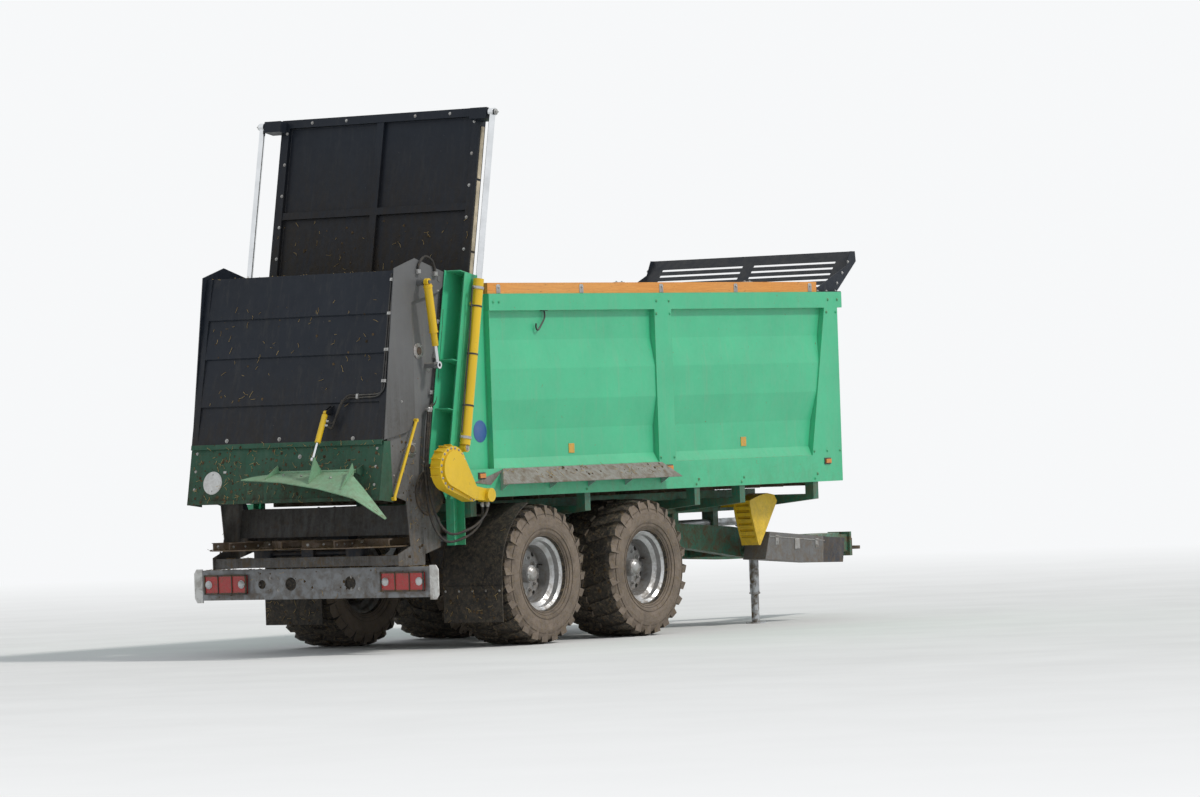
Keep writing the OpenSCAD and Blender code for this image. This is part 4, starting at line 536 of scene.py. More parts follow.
class Build:
    """Collects geometry into one mesh piece."""

    def __init__(self):
        self.bm = bmesh.new()

    def add(self, verts, faces):
        vs = [self.bm.verts.new(v) for v in verts]
        for f in faces:
            self.bm.faces.new([vs[i] for i in f])

    def lathe(self, centre, axis, profile, sides=32, turn=0.0):
        """A turned form with closed ends."""
        rows = len(profile)
        self.add(turned_points(centre, axis, profile, sides, turn), bands(rows, sides) + caps(rows, sides))

    def turned(self, centre, axis, profile, sides=32):
        """A turned form that is open along its axis: the profile is a closed loop."""
        self.add(turned_points(centre, axis, profile, sides), bands(len(profile), sides, True))

    def collar(self, centre, axis, inner, outer, width, sides=32):
        self.turned(centre, axis, [(0.0, inner), (0.0, outer), (width, outer), (width, inner)], sides)

    def prism(self, at, normal, r, h, sides=6, chamfer=0.15, turn=0.0):
        """A bolt head or short post standing on a surface, its rim chamfered."""
        self.lathe(at, normal, [(0.0, r), (h * (1 - chamfer), r), (h, r * (1 - chamfer * 0.8))], sides, turn)

    def bolt(self, at, normal, r=0.011):
        """A hexagon head on its washer, with the thread's end showing."""
        n = Vector(normal).normalized()
        self.prism(at, n, r * 1.35, r * 0.22, 14, 0.3)
        self.prism(Vector(at) + n * r * 0.2, n, r, r * 0.72, 6, 0.22, random.uniform(0, 1))
        self.prism(Vector(at) + n * r * 0.9, n, r * 0.5, r * 0.35, 8, 0.3)

    def slab(self, corners, normal, t, bevel=0.3):
        """A flat plate on its outline, its rim chamfered on the outer side."""
        n = Vector(normal).normalized()
        pts = [Vector(c) for c in corners]
        mid = sum(pts, Vector()) / len(pts)
        inset = [p + (mid - p).normalized() * min(t * 0.5, (mid - p).length * 0.2) for p in pts]
        verts = pts + [p + n * t * (1 - bevel) for p in pts] + [p + n * t for p in inset]
        self.add(verts, bands(3, len(pts)) + caps(3, len(pts)))

    def pad(self, at, a, b, spans, normal, t, bevel=0.3):
        """A four-cornered slab; its spans are from and to along a, then along b."""
        a0, a1, b0, b1 = spans
        self.slab([at + a * u + b * v for u, v in ((a0, b0), (a1, b0), (a1, b1), (a0, b1))], normal, t, bevel)

    def plate(self, outline, y0, y1):
        """A plate with its outline in X and Z, between two places across the machine."""
        self.slab([C(x, y0, z) for x, z in outline], Y, y1 - y0, 0.1)

    def tube(self, path, r, sides=10):
        """A round tube through points, its rings kept from twisting."""
        pts = [Vector(p) for p in path]
        n = len(pts)
        tangents = [(pts[min(i + 1, n - 1)] - pts[max(i - 1, 0)]).normalized() for i in range(n)]
        u = tangents[0].orthogonal().normalized()
        verts = []
        for p, t in zip(pts, tangents):
            u = (u - t * u.dot(t)).normalized()
            verts += circle(p, u, t.cross(u), r, sides)
        self.add(verts, bands(n, sides) + caps(n, sides))

    def bent(self, points, r, sides, steps):
        """A tube through the smooth path over a few points."""
        self.tube(smooth_path(points, steps), r, sides)

    def closed_bar(self, pts, r, sides=5):
        """A round bar bent into a closed link."""
        mid = sum(pts, Vector()) / len(pts)
        verts = []
        for i, p in enumerate(pts):
            t = (pts[(i + 1) % len(pts)] - pts[i - 1]).normalized()
            out = (p - mid).normalized()
            out = (out - t * out.dot(t)).normalized()
            verts += circle(p, out, t.cross(out), r, sides)
        self.add(verts, bands(len(pts), sides, True))

    def ring(self, centre, axis, major, minor, turns=28, sides=7):
        _, a, b = basis(axis)
        self.closed_bar(circle(Vector(centre), a, b, major, turns), minor, sides)

    def lump(self, at, normal, r, flat=0.5):
        """A caked clod, wider than it is high, bedded in the surface."""
        n, a, b = basis(normal)
        at = Vector(at) - n * r * 0.12
        rows, sides = 3, 7
        verts = []
        for j in range(rows):
            t = j * math.pi / 2 / rows
            for k in range(sides):
                w = r * random.uniform(0.78, 1.18)
                p = k * math.tau / sides + j * 0.4
                out = a * math.cos(p) + b * math.sin(p)
                verts.append(at + out * math.cos(t) * w + n * flat * math.sin(t) * w)
        verts += [at + n * r * flat * 1.05, at - n * r * 0.15]
        last, top, foot = (rows - 1) * sides, rows * sides, rows * sides + 1
        faces = bands(rows, sides)
        for k in range(sides):
            faces += [[last + k, last + (k + 1) % sides, top], [(k + 1) % sides, k, foot]]
        self.add(verts, faces)

    def strand(self, at, normal, length, r=0.0016):
        """A bent stalk that lies on the surface and lifts at its ends."""
        n, a, b = basis(normal)
        p = random.uniform(0, math.tau)
        along = a * math.cos(p) + b * math.sin(p)
        bow = n.cross(along) * random.uniform(-0.18, 0.18) * length
        lift = random.uniform(0.03, 0.35) * length
        at = Vector(at)
        half = along * length * 0.5
        self.tube([at - half + n * (r + lift * random.random()), at + n * r * 0.6 + bow,
                   at + half + n * (r + lift * random.random())], r, 4)

    def done(self, name, finish, smooth=None, body="chassis"):
        """The collected piece on its body; smooth is the angle in degrees over which edges stay sharp."""
        mat, slot = FINISH[finish]
        me = bpy.data.meshes.new(name)
        bmesh.ops.recalc_face_normals(self.bm, faces=self.bm.faces)
        self.bm.to_mesh(me)
        self.bm.free()
        me.materials.append(mat)
        obj = bpy.data.objects.new(name, me)
        scene.collection.objects.link(obj)
        if smooth is not None:
            for p in me.polygons:
                p.use_smooth = True
            me.set_sharp_from_angle(angle=math.radians(smooth))
        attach(obj, body)
        return obj


TREES = {}


def tree(name):
    if name not in TREES:
        TREES[name] = BVHTree.FromObject(NODES[name], bpy.context.evaluated_depsgraph_get())
    return TREES[name]


def first_hit(names, start, toward):
    """Where a ray first meets the named CAD nodes and the surface's direction there, or None."""
    hits = [tree(name).ray_cast(start, toward) for name in names.split()]
    hits = [(dist, loc, nor) for loc, nor, _, dist in hits if loc is not None]
    return min(hits, key=lambda hit: hit[0])[1:] if hits else None


def seat(names, start, toward):
    """The first hit of a ray that has to meet one of the named nodes."""
    hit = first_hit(names, start, toward)
    if hit is None:
        raise ValueError(f"nothing of {names} lies beyond {tuple(start)}")
    return hit


def mirrored_bolts(b, names, points, toward, r):
    """Bolts where rays from these points on the left, and from the same on the right, meet the nodes."""
    for x, y, z in points:
        for s in SIDES:
            way = Vector((toward.x, s * toward.y, toward.z))
            b.bolt(*seat(names, C(x, s * y, z), way), r)


# Hoses
CLEAR_Y = 1.3  # outside the body, where rays toward its sides start
HOSE_R = 0.011
MOTOR_HOSES = {
    "motor_hose_inner": [(-1.275, -1.012, 2.0), (-1.35, -1.014, 1.5), (-1.35, -1.05, 1.1),
                         (-1.24, -1.11, 0.9), (-1.02, -1.165, 0.93), (-0.86, -1.178, 1.02),
                         (-0.812, -1.182, 1.11), (-0.812, -1.182, 1.2055)],
    "motor_hose_outer": [(-1.248, -1.012, 2.0), (-1.325, -1.016, 1.5), (-1.322, -1.075, 1.13),
                         (-1.215, -1.135, 0.96), (-1.02, -1.198, 0.99), (-0.88, -1.216, 1.06),
                         (-0.804, -1.22, 1.13), (-0.788, -1.22, 1.2055)],
}


def motor_hoses():
    sleeve = [(0, 0.0125), (0.004, 0.0150), (0.034, 0.0150), (0.040, 0.0120)]
    made = []
    for name, points in MOTOR_HOSES.items():
        path = smooth_path([C(*p) for p in points], 5)
        b = Build()
        b.tube(path, HOSE_R, 12)
        hose = b.done(name, "hose", 50)
        f = Build()
        for end, beyond in ((path[0], path[1]), (path[-1], path[-2])):
            way = (beyond - end).normalized()
            f.lathe(end + way * 0.001, way, sleeve, 16)
            f.prism(end + way * 0.012, way, 0.019, 0.014)
        fittings = f.done(name + "_ends", "zinc", 40)
        made.append(hose)
    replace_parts(made[0], "hydraulic_hoses")


def clamped_lines():
    """Hydraulic lines clamped up the right side plate's front edge, over the hose ends."""
    b = Build()
    edge = [(-1.175, 2.06), (-1.125, 2.32), (-1.060, 2.66), (-1.040, 2.80)]
    for k, points in enumerate(MOTOR_HOSES.values()):
        b.bent([C(*points[0])] + [C(x + 0.0162 * k, -0.987 - 0.012 * k, z) for x, z in edge], 0.008, 10, 6)
    b.done("side_lines", "hose", 50)
    c = Build()
    for x, z in ((-1.177, 2.12), (-1.104, 2.42), (-1.050, 2.70)):
        loc, _ = seat("spreader_frame", C(x, -CLEAR_Y, z), Y)
        c.pad(loc, X, Z, (-0.035, 0.030, -0.018, 0.018), -Y, 0.030, 0.2)
        c.bolt(loc + Vector((-0.024, -0.030, 0)), -Y, 0.007)
    c.done("line_clamps", "zinc", 40)


# Body and chassis
def body_fasteners():
    sill = [(-0.878, 1.27), (0.735, 1.27), (0.775, 1.31), (2.38, 1.27), (2.42, 1.31), (3.08, 1.27),
            (3.12, 1.31), (4.25, 1.27), (4.29, 1.31)]
    posts = [(1.853, 1.51), (2.057, 1.51), (1.853, 2.74), (2.057, 2.74), (4.25, 1.51), (4.46, 1.51),
             (4.67, 1.51), (4.52, 2.74), (4.67, 2.74)]
    guard = [(4.81, 3.0), (4.90, 3.09), (5.0, 3.19)]
    rails = [(x, 2.85) for x in (-0.52, -0.44, 1.86, 2.05, 4.55, 4.70)]
    b = Build()
    places = [(x, CLEAR_Y, z) for x, z in sill + posts + rails]
    mirrored_bolts(b, "side_frame_left side_frame_right", places, -Y, 0.010)
    b.done("body_fasteners", "green_bolts", 35)
    c = Build()
    mirrored_bolts(c, "rear_posts", [(-0.99, 1.065, z) for z in (0.93, 1.04, 1.15)], -Y, 0.014)
    mirrored_bolts(c, "front_guard", [(x, 1.11, 3.2) for x in (4.45, 4.59, 4.74)], -Z, 0.011)
    mirrored_bolts(c, "front_guard", [(x, CLEAR_Y, z) for x, z in guard], -Y, 0.010)
    mirrored_bolts(c, "light_bar", [(-2.2, y, z) for z in (0.53, 0.63) for y in (0.38, 0.46)], X, 0.010)
    for y in (-0.085, 0.085):
        for z in (0.55, 0.67):
            c.bolt(*seat("hitch_eye", C(6.7, y, z), -X), 0.014)
    mirrored_bolts(c, "mudguards", [(-0.9, 0.66 + k * 0.1375, 0.47) for k in range(5)], X, 0.008)
    c.done("zinc_fasteners", "zinc", 35)


def board_clips():
    outline = [(-0.028, -0.043), (0.028, -0.043), (0.028, 0.022), (0.018, 0.032), (-0.018, 0.032),
               (-0.028, 0.022)]
    b = Build()
    for x in (-0.43, 0.765, 1.954, 3.1, 4.278):
        for s in SIDES:
            loc, _ = seat("top_boards", C(x, s * CLEAR_Y, 2.965), Y * -s)
            b.slab([loc + X * dx + Z * dz for dx, dz in outline], Y * s, 0.005)
            b.bolt(loc + Vector((0, s * 0.005, 0.006)), Y * s, 0.009)
    b.done("board_clips", "zinc", 35)


def board_ends():
    """Butt straps over the joints of the timber boards."""
    b = Build()
    for x in (1.36, 3.32):
        for s in SIDES:
            top, _ = seat("top_boards", C(x, s * 1.118, 3.3), -Z)
            b.pad(top, X, Y, (-0.06, 0.06, -0.018, 0.018), Z, 0.004)
            for dx in (-0.04, 0.04):
                b.bolt(top + Vector((dx, 0, 0.004)), Z, 0.008)
    b.done("board_straps", "zinc", 35)


def lamp_trim():
    rear_x, rim = -1.5913, 0.014
    y0, y1, z0, z1 = 0.693, 1.137, 0.502, 0.667
    bars = [(y0, y1, z0, z0 + rim), (y0, y1, z1 - rim, z1), (y0, y0 + rim, z0, z1), (y1 - rim, y1, z0, z1),
            (0.840, 0.850, z0, z1), (0.985, 0.995, z0, z1)]
    f, d, r = Build(), Build(), Build()
    for s in SIDES:
        for bar in bars:
            f.pad(C(rear_x + 0.004, 0, 0), Y * s, Z, bar, -X, 0.010)
    for x in (-0.763, 1.972, 4.459):
        for s in SIDES:
            f.pad(C(x, s * 1.150, 1.420), X, Z, (-0.050, 0.050, -0.028, 0.028), Y * s, 0.008)
    f.done("lamp_frames", "black_steel", 35)
    dome = [(0.0, 0.034), (0.006, 0.034), (0.007, 0.030), (0.014, 0.027), (0.019, 0.017), (0.021, 0.006)]
    for s in SIDES:
        for y in (0.745, 1.088):
            d.lathe(C(rear_x, s * y, 0.585), -X, dome, 24)
    d.done("lamp_domes", "clear", 60)
    for y, hole in ((0.55, 0.030), (0.25, 0.048), (-0.365, 0.048)):
        r.ring(C(-1.5655, y, 0.5795), X, hole + 0.001, 0.006, 36, 8)
        r.lathe(C(-1.560, y, 0.5795), X, [(0.0, hole * 0.92), (0.040, hole * 0.86), (0.048, hole * 0.4)], 28)
    r.done("bar_sockets", "black_rubber", 50)


def fender_gussets():
    outline = [(1.1505, 1.452), (1.252, 1.355), (1.240, 1.344), (1.1505, 1.29)]
    b = Build()
    for s in SIDES:
        for x in (-0.50, 0.20, 0.755, 1.30, 1.84):
            b.slab([C(x, s * y, z) for y, z in outline], X, 0.005, 0.2)
        b.tube([C(x, s * 1.2675, 1.3475) for x in (-0.60, 1.95)], 0.0052, 8)
    b.done("fender_gussets", "galvanised", 35)


def side_fittings():
    """Reflectors, a hook under the rail and a blank round sign on the end panel."""
    r, h, d = Build(), Build(), Build()
    for x in (0.60, 3.20):
        for s in SIDES:
            loc, _ = seat("side_wall_left side_wall_right", C(x, s * CLEAR_Y, 1.62), Y * -s)
            r.pad(loc, X, Z, (-0.040, 0.040, -0.040, 0.040), Y * s, 0.006)
    r.done("side_reflectors", "reflector", 35)
    loc, _ = seat("side_frame_right", C(0.245, -1.12, 2.5), Z)
    h.pad(loc, X, Y, (-0.03, 0.03, -0.02, 0.02), -Z, 0.006, 0.2)
    hook = [(0, 0, 0), (0, -0.002, -0.06), (-0.05, -0.004, -0.12), (-0.104, -0.004, -0.165),
            (-0.13, -0.004, -0.14), (-0.125, -0.004, -0.11)]
    h.bent([loc + Vector(p) for p in hook], 0.007, 10, 6)
    h.done("rail_hook", "black_steel", 50)
    sign = [(0.0, 0.092), (0.002, 0.092), (0.003, 0.090), (0.003, 0.078), (0.0035, 0.076), (0.0035, 0.002)]
    loc, _ = seat("side_wall_right", C(-0.696, -CLEAR_Y, 1.786), Y)
    d.lathe(loc, -Y, sign, 48)
    d.done("end_panel_sign", "blue", 30)


def plate_feet():
    """The side plates' feet, the sheet ahead of the discs and the right side's round cover."""
    foot = [(-1.2705, 1.238), (-1.262, 1.205), (-1.106, 1.084), (-1.106, 0.850), (-1.318, 0.800),
            (-1.3195, 0.870)]
    cover = [(0.0, 0.190), (0.015, 0.190), (0.018, 0.187), (0.018, 0.150), (0.024, 0.145), (0.026, 0.141),
             (0.026, 0.060), (0.023, 0.055), (0.023, 0.004)]
    b, c = Build(), Build()
    for s in SIDES:
        y = 0.9555 if s > 0 else -0.9625
        b.plate(foot, y, y + 0.007)
        b.pad(C(-1.112, 0, 0), Y * s, Z, (0.113, 0.955, 0.850, 1.084), -X, 0.006, 0.1)
    b.done("plate_feet", "side_grey", 35)
    at = C(-1.250, -0.963, 1.300)
    c.lathe(at, -Y, cover, 56)
    for d in spokes(10):
        c.bolt(at + d * 0.169 - Y * 0.018, -Y, 0.009)
    c.done("side_cover", "cover", 35)


def spreader_fasteners():
    edge = [(-1.075, 2.95), (-1.130, 2.62), (-1.195, 2.30), (-1.245, 1.98), (-1.300, 1.55), (-1.62, 2.05),
            (-1.72, 1.45)]
    b = Build()
    for s in SIDES:
        for x, z in edge:
            b.bolt(*seat("spreader_frame hood_panel beater_drive_case", C(x, s * CLEAR_Y, z), Y * -s), 0.009)
    flange = [(0.0, 0.034), (0.0, 0.066), (0.004, 0.066), (0.006, 0.062), (0.012, 0.046), (0.012, 0.034)]
    for (x, z), _ in BEATERS.values():
        c = C(x, -0.963, z)
        b.turned(c, -Y, flange, 36)
        for d in spokes(4, 45):
            b.bolt(c + d * 0.057 - Y * 0.004, -Y, 0.007)
    b.done("spreader_fasteners", "zinc", 35)


def gearbox_details():
    big, small = C(-1.292, 0, 1.490), C(-1.040, 0, 1.292)
    b, r = Build(), Build()
    for d in spokes(16, -10, 18):
        b.bolt(big + d * 0.168 - Y * 1.255, -Y, 0.0085)
    for d in spokes(5, -120, 40):
        b.bolt(small + d * 0.067 - Y * 1.255, -Y, 0.0065)
    b.done("gearbox_bolts", "zinc", 35)
    for d in spokes(9, 20, 22):
        inner, outer = (big - Y * 1.158 + d * out for out in (0.1855, 0.200))
        r.slab([inner, outer, outer - Y * 0.070, inner - Y * 0.090], d.cross(Y), 0.008, 0.2)
    r.done("gearbox_ribs", "yellow", 35)


def tool_box_trim():
    y = -0.900
    b = Build()
    b.tube([C(3.86, y - 0.001, 0.775), C(4.745, y - 0.001, 0.708)], 0.0045, 8)
    for x, z in ((3.98, 0.742), (4.62, 0.694)):
        b.pad(C(x, y, z), X, Z, (-0.025, 0.025, -0.045, 0.040), -Y, 0.005)
        b.bolt(C(x, y - 0.005, z - 0.02), -Y, 0.007)
        b.tube([C(x + dx, y - 0.008, z + 0.03) for dx in (-0.022, 0.022)], 0.006)
    b.pad(C(4.30, y, 0.70), X, Z, (-0.04, 0.04, -0.05, 0.04), -Y, 0.008)
    b.done("tool_box_trim", "zinc", 35)


CHAIN_TOP_Z = 1.3813
CHAIN_REAR, CHAIN_FRONT, LINK_PITCH = -0.93, 4.47, 0.062


def chain_links():
    """Round links along the chains' upper runs, every second one on edge."""
    b = Build()
    for s in SIDES:
        for y in (0.10, 0.94):
            for k in range(int((CHAIN_FRONT - CHAIN_REAR) / LINK_PITCH)):
                mid = C(CHAIN_REAR + k * LINK_PITCH, s * y, CHAIN_TOP_Z + 0.0015)
                b.closed_bar(circle(mid, X * 0.040, Z * 0.0049 if k % 2 else Y * 0.014, 1, 8), 0.0055)
    b.done("chain_links", "floor_steel", 60)


def tank_fittings():
    b, c = Build(), Build()
    for x in (2.58, 2.86):
        b.collar(C(x, 0.625, 0.88), X, 0.1105, 0.114, 0.03, 40)
    b.lathe(C(2.74, 0.625, 0.771), -Z, [(0.0, 0.014), (0.02, 0.014), (0.022, 0.010), (0.034, 0.008)], 14)
    line = [(3.03, 0.625, 0.88), (3.08, 0.625, 0.885), (3.16, 0.58, 0.93), (3.22, 0.50, 0.985),
            (3.30, 0.462, 1.0)]
    b.bent([C(*p) for p in line], 0.007, 10, 6)
    b.done("tank_fittings", "black_steel", 50)
    chamber = [(0.0, 0.030), (0.012, 0.060), (0.050, 0.068), (0.056, 0.072), (0.064, 0.072), (0.070, 0.066),
               (0.110, 0.058), (0.120, 0.030)]
    for x in sorted(WHEELS.values()):
        for s in SIDES:
            at = C(x - 0.060, s * 0.665, 0.60)
            c.lathe(at, -X, chamber, 30)
            c.lathe(at, X, [(-0.002, 0.022), (0.12, 0.022)], 14)
    c.done("brake_chambers", "black_steel", 40)


def jack_trim():
    b = Build()
    foot = C(4.11, -0.56, 0.0)
    cap = [(0.0, 0.013), (0.004, 0.016), (0.045, 0.016), (0.052, 0.012), (0.055, 0.004)]
    b.lathe(foot + Vector((-0.105, 0, 0.940)), Z, cap, 18)
    for z in (0.262, 0.60, 0.905):
        b.collar(foot + Z * z, Z, 0.0415, 0.049, 0.014)
    b.done("jack_trim", "zinc", 40, "jack")


# Wheels
WHEEL_Y, WHEEL_Z = 0.935, 0.585
WHEELS = {"front": 1.510, "rear": 0.0}
VALVE_ANGLE = 0.31
# The sidewall's arc: its middle out from the tyre's middle and from the axle, and its reach on both ways
SIDEWALL_Y, SIDEWALL_R = 0.225, 0.4285
BULGE_Y, BULGE_R = 0.0755, 0.135


def wheel_trim(which, s):
    name = f"{which}_{SIDE_NAME[s]}"
    mid, out = C(WHEELS[which], s * WHEEL_Y, WHEEL_Z), Y * s
    b, v = Build(), Build()
    cap = [(0.0, 0.066), (0.006, 0.066), (0.008, 0.058), (0.016, 0.052), (0.026, 0.044), (0.031, 0.026),
           (0.032, 0.006)]
    b.lathe(mid + out * 0.1392, out, cap, 36)
    for d in spokes(6):
        b.bolt(mid + out * 0.145 + d * 0.060, out, 0.0055)
    washer = [(0.0, 0.012), (0.0, 0.023), (0.003, 0.023), (0.006, 0.017), (0.006, 0.012)]
    for d in spokes(10):
        b.turned(mid + d * 0.140 + out * 0.0722, out, washer, 16)
        b.prism(mid + d * 0.140 + out * 0.094, out, 0.009, 0.012, 10)
    b.done(f"hub_trim_{name}", "zinc_rim", 40, f"wheel_{name}")
    d = Vector((math.cos(VALVE_ANGLE), 0, math.sin(VALVE_ANGLE)))
    v.bent([mid + d * r + out * y for r, y in ((0.236, 0.056), (0.232, 0.080), (0.222, 0.105))], 0.0055, 8, 4)
    for side in SIDES:
        for a in map(math.radians, (-50, -38, -22, 30)):
            middle = mid + out * side * (SIDEWALL_Y + BULGE_Y * math.cos(a))
            v.ring(middle, out, SIDEWALL_R + BULGE_R * math.sin(a), 0.0026, 72, 6)
    v.done(f"tyre_rings_{name}", "tyre", 60, f"wheel_{name}")


# Gate
GATE_Y = 1.040
GATE_FOOT_U, GATE_TOP_U = 1.315, 3.155
# The gate cylinders' axis
RAM_Y, RAM_V = 1.200, -0.096


def gate_trim():
    knob = [(0.0, 0.026), (0.005, 0.026), (0.007, 0.016), (0.014, 0.016), (0.016, 0.010)]
    p, b, t = Build(), Build(), Build()
    for s in SIDES:
        for u0, u1 in ((1.34, 1.93), (1.95, 2.54), (2.56, 3.0)):
            p.pad(on_gate(0, 0, s * GATE_Y), GATE_Z, GATE_X, (u0, u1, -0.022, 0.022), Y * s, 0.006, 0.2)
    p.done("gate_slides", "slide", 35, "gate")
    for s in SIDES:
        for k in range(7):
            b.bolt(on_gate(1.42 + k * 0.27, -0.038, s * (GATE_Y - 0.062)), -GATE_X, 0.010)
        pin = on_gate(GATE_TOP_U - 0.060, RAM_V, s * 1.232)
        b.lathe(pin, Y * s, knob, 24)
        b.ring(pin + Y * s * 0.011, GATE_Z, 0.018, 0.0022, 20, 5)
    for y in (-0.72, -0.36, 0.36, 0.72):
        for u in (GATE_TOP_U - 0.035, GATE_FOOT_U + 0.030):
            b.bolt(on_gate(u, -0.038, y), -GATE_X, 0.010)
    b.done("gate_fasteners", "zinc", 35, "gate")
    foot, top, side = GATE_FOOT_U + 0.062, GATE_TOP_U - 0.072, GATE_Y - 0.085
    for s in SIDES:
        for (u0, y0), (u1, y1) in (((foot, side + 0.003), (top, side + 0.003)), ((top, 0.04), (top, side)),
                                   ((foot, 0.04), (foot, side))):
            t.tube([on_gate(u0, -0.001, s * y0), on_gate(u1, -0.001, s * y1)], 0.005, 6)
    t.done("gate_welds", "gate_weld", 60, "gate")


def gate_cylinder_fittings():
    b, p = Build(), Build()
    port = [(0.0, 0.012), (0.016, 0.012), (0.018, 0.009), (0.026, 0.009)]
    pin = [(0.0, 0.024), (0.006, 0.024), (0.008, 0.015), (0.014, 0.014)]
    for s in SIDES:
        for u in (0.35, 1.60):
            at = on_gate(u, RAM_V, s * RAM_Y)
            b.collar(at, GATE_Z, 0.0442, 0.050, 0.022, 36)
            b.lathe(at - GATE_X * 0.046 + GATE_Z * 0.011, -GATE_X, port, 12)
        b.lathe(on_gate(0.276, RAM_V, s * 1.225), Y * s, pin, 20)
    b.done("gate_cylinder_fittings", "zinc", 40)
    route = [(1.611, -0.170), (1.56, -0.172), (1.2, -0.156), (0.8, -0.156), (0.44, -0.156), (0.40, -0.150)]
    for s in SIDES:
        p.bent([on_gate(u, v, s * RAM_Y) for u, v in route], 0.0065, 8, 4)
        for u in (0.62, 1.05, 1.45):
            p.collar(on_gate(u, RAM_V, s * RAM_Y), GATE_Z, 0.0441, 0.047, 0.014)
            p.pad(on_gate(u, 0, s * RAM_Y), Y, GATE_X, (-0.008, 0.008, -0.143, -0.165), GATE_Z, 0.014, 0.2)
    p.done("gate_cylinder_pipes", "black_steel", 50)


# Hood
FOLD_OUT = 0.016
DEFL_CYL_Y = -0.430
CYL_PIN, CYL_DOWN = C(-1.905, DEFL_CYL_Y, 1.980), Vector((-0.451, 0, -0.8925))
# The ports look to the hoses' side, square to the cylinder
PORT_OUT = Vector((0.446, -0.866, -0.2255)).normalized()
PORTS = (0.070, 0.110)
HOSE_ROW_S, ROW_STEP = 1.030, 0.02


def barrel_port(down, out):
    """A point beside the deflector cylinder, this far below its pin and out from its axis."""
    return CYL_PIN + CYL_DOWN * down + PORT_OUT * out


def deflector_ports():
    b = Build()
    for down in PORTS:
        b.prism(barrel_port(down, 0.0205), PORT_OUT, 0.011, 0.012)
        b.lathe(barrel_port(down, 0.030), PORT_OUT, [(0.0, 0.0095), (0.012, 0.0095), (0.014, 0.008)], 14)
    b.done("deflector_ports", "zinc", 40, "deflector_barrel")


def hood_pipes():
    b = Build()
    for k, y in enumerate((-0.968, -0.948)):
        low = HOSE_ROW_S + ROW_STEP * k
        route = [(0, y, s) for s in (0.03, 0.30, 0.60, 0.90)]
        route += [(0, y + 0.006, low - 0.045), (0.001, y + 0.05, low - 0.005), (0.001, -0.80, low),
                  (0.001, -0.67, low)]
        b.bent([on_hood(-FOLD_OUT - 0.0105 - out, across, s) for out, across, s in route], 0.0065, 10, 5)
    b.done("hood_pipes", "black_steel", 60, "hood")


def hood_clamps():
    b = Build()
    fold = on_hood(-FOLD_OUT, 0, 0)
    for s in (0.08, 0.36, 0.66, 0.92):
        b.pad(fold, Y, -GATE_Z, (-0.981, -0.935, s - 0.014, s + 0.014), -GATE_X, 0.020, 0.25)
        b.bolt(on_hood(-FOLD_OUT - 0.020, -0.958, s), -GATE_X, 0.006)
    b.pad(fold, Y, -GATE_Z, (-0.715, -0.690, 1.018, 1.062), -GATE_X, 0.020, 0.25)
    for v, y, s in ((-0.0145, 0.074, 1.372), (-0.0145, -0.684, 1.385), (-0.0145, 0.62, 1.372),
                    (0.0, -0.144, 1.52)):
        b.bolt(on_hood(v, y, s), -GATE_X, 0.013)
    b.done("hood_clamps", "zinc", 35, "hood")


def deflector_hoses():
    b = Build()
    v = -FOLD_OUT - 0.012
    for k, down in enumerate(PORTS):
        s = HOSE_ROW_S + ROW_STEP * k
        b.bent([on_hood(v, -0.672, s), on_hood(v - 0.006, -0.62, s + 0.002),
                on_hood(v - 0.026, -0.578 + ROW_STEP * k, s + 0.055),
                barrel_port(down, 0.085), barrel_port(down, 0.043)], 0.0085, 10, 6)
    b.done("deflector_hoses", "hose", 60, "hood")


def lower_panel_trim():
    """A blank round sign, its bolts, a small plate and the panel's edge bolts."""
    disc = [(0.0, 0.096), (0.0025, 0.096), (0.0035, 0.094), (0.0035, 0.086), (0.0045, 0.085), (0.0045, 0.003)]
    sign, b = Build(), Build()
    sign.lathe(on_hood(0.0, 0.742, 1.719), -GATE_X, disc, 56)
    sign.done("hood_sign", "white", 30, "hood")
    for s in (1.650, 1.788):
        b.bolt(on_hood(-0.0045, 0.742, s), -GATE_X, 0.005)
    b.pad(on_hood(0, 0, 0), Y, -GATE_Z, (0.606, 0.636, 1.622, 1.642), -GATE_X, 0.006)
    for s in (1.47, 1.62, 1.77):
        for y in (-0.93, 0.93):
            b.bolt(on_hood(0.0, y, s), -GATE_X, 0.009)
    b.done("lower_panel_bolts", "zinc", 35, "hood")


def gable_hose():
    """The hose over the hood's right gable, clamped at both ends."""
    arc = [(-1.350, 3.110), (-1.337, 3.171), (-1.256, 3.231), (-1.165, 3.205), (-1.125, 3.140),
           (-1.120, 3.090)]
    b, f = Build(), Build()
    b.bent([C(x, -1.006, z) for x, z in arc], 0.0105, 12, 8)
    b.done("gable_hose", "hose", 60, "hood")
    for x, z in (arc[0], arc[-1]):
        loc, _ = seat("hood_panel", C(x, -1.2, z), Y)
        f.pad(loc, X, Z, (-0.022, 0.022, -0.020, 0.020), -Y, 0.028)
    f.done("gable_hose_clamps", "zinc", 40, "hood")


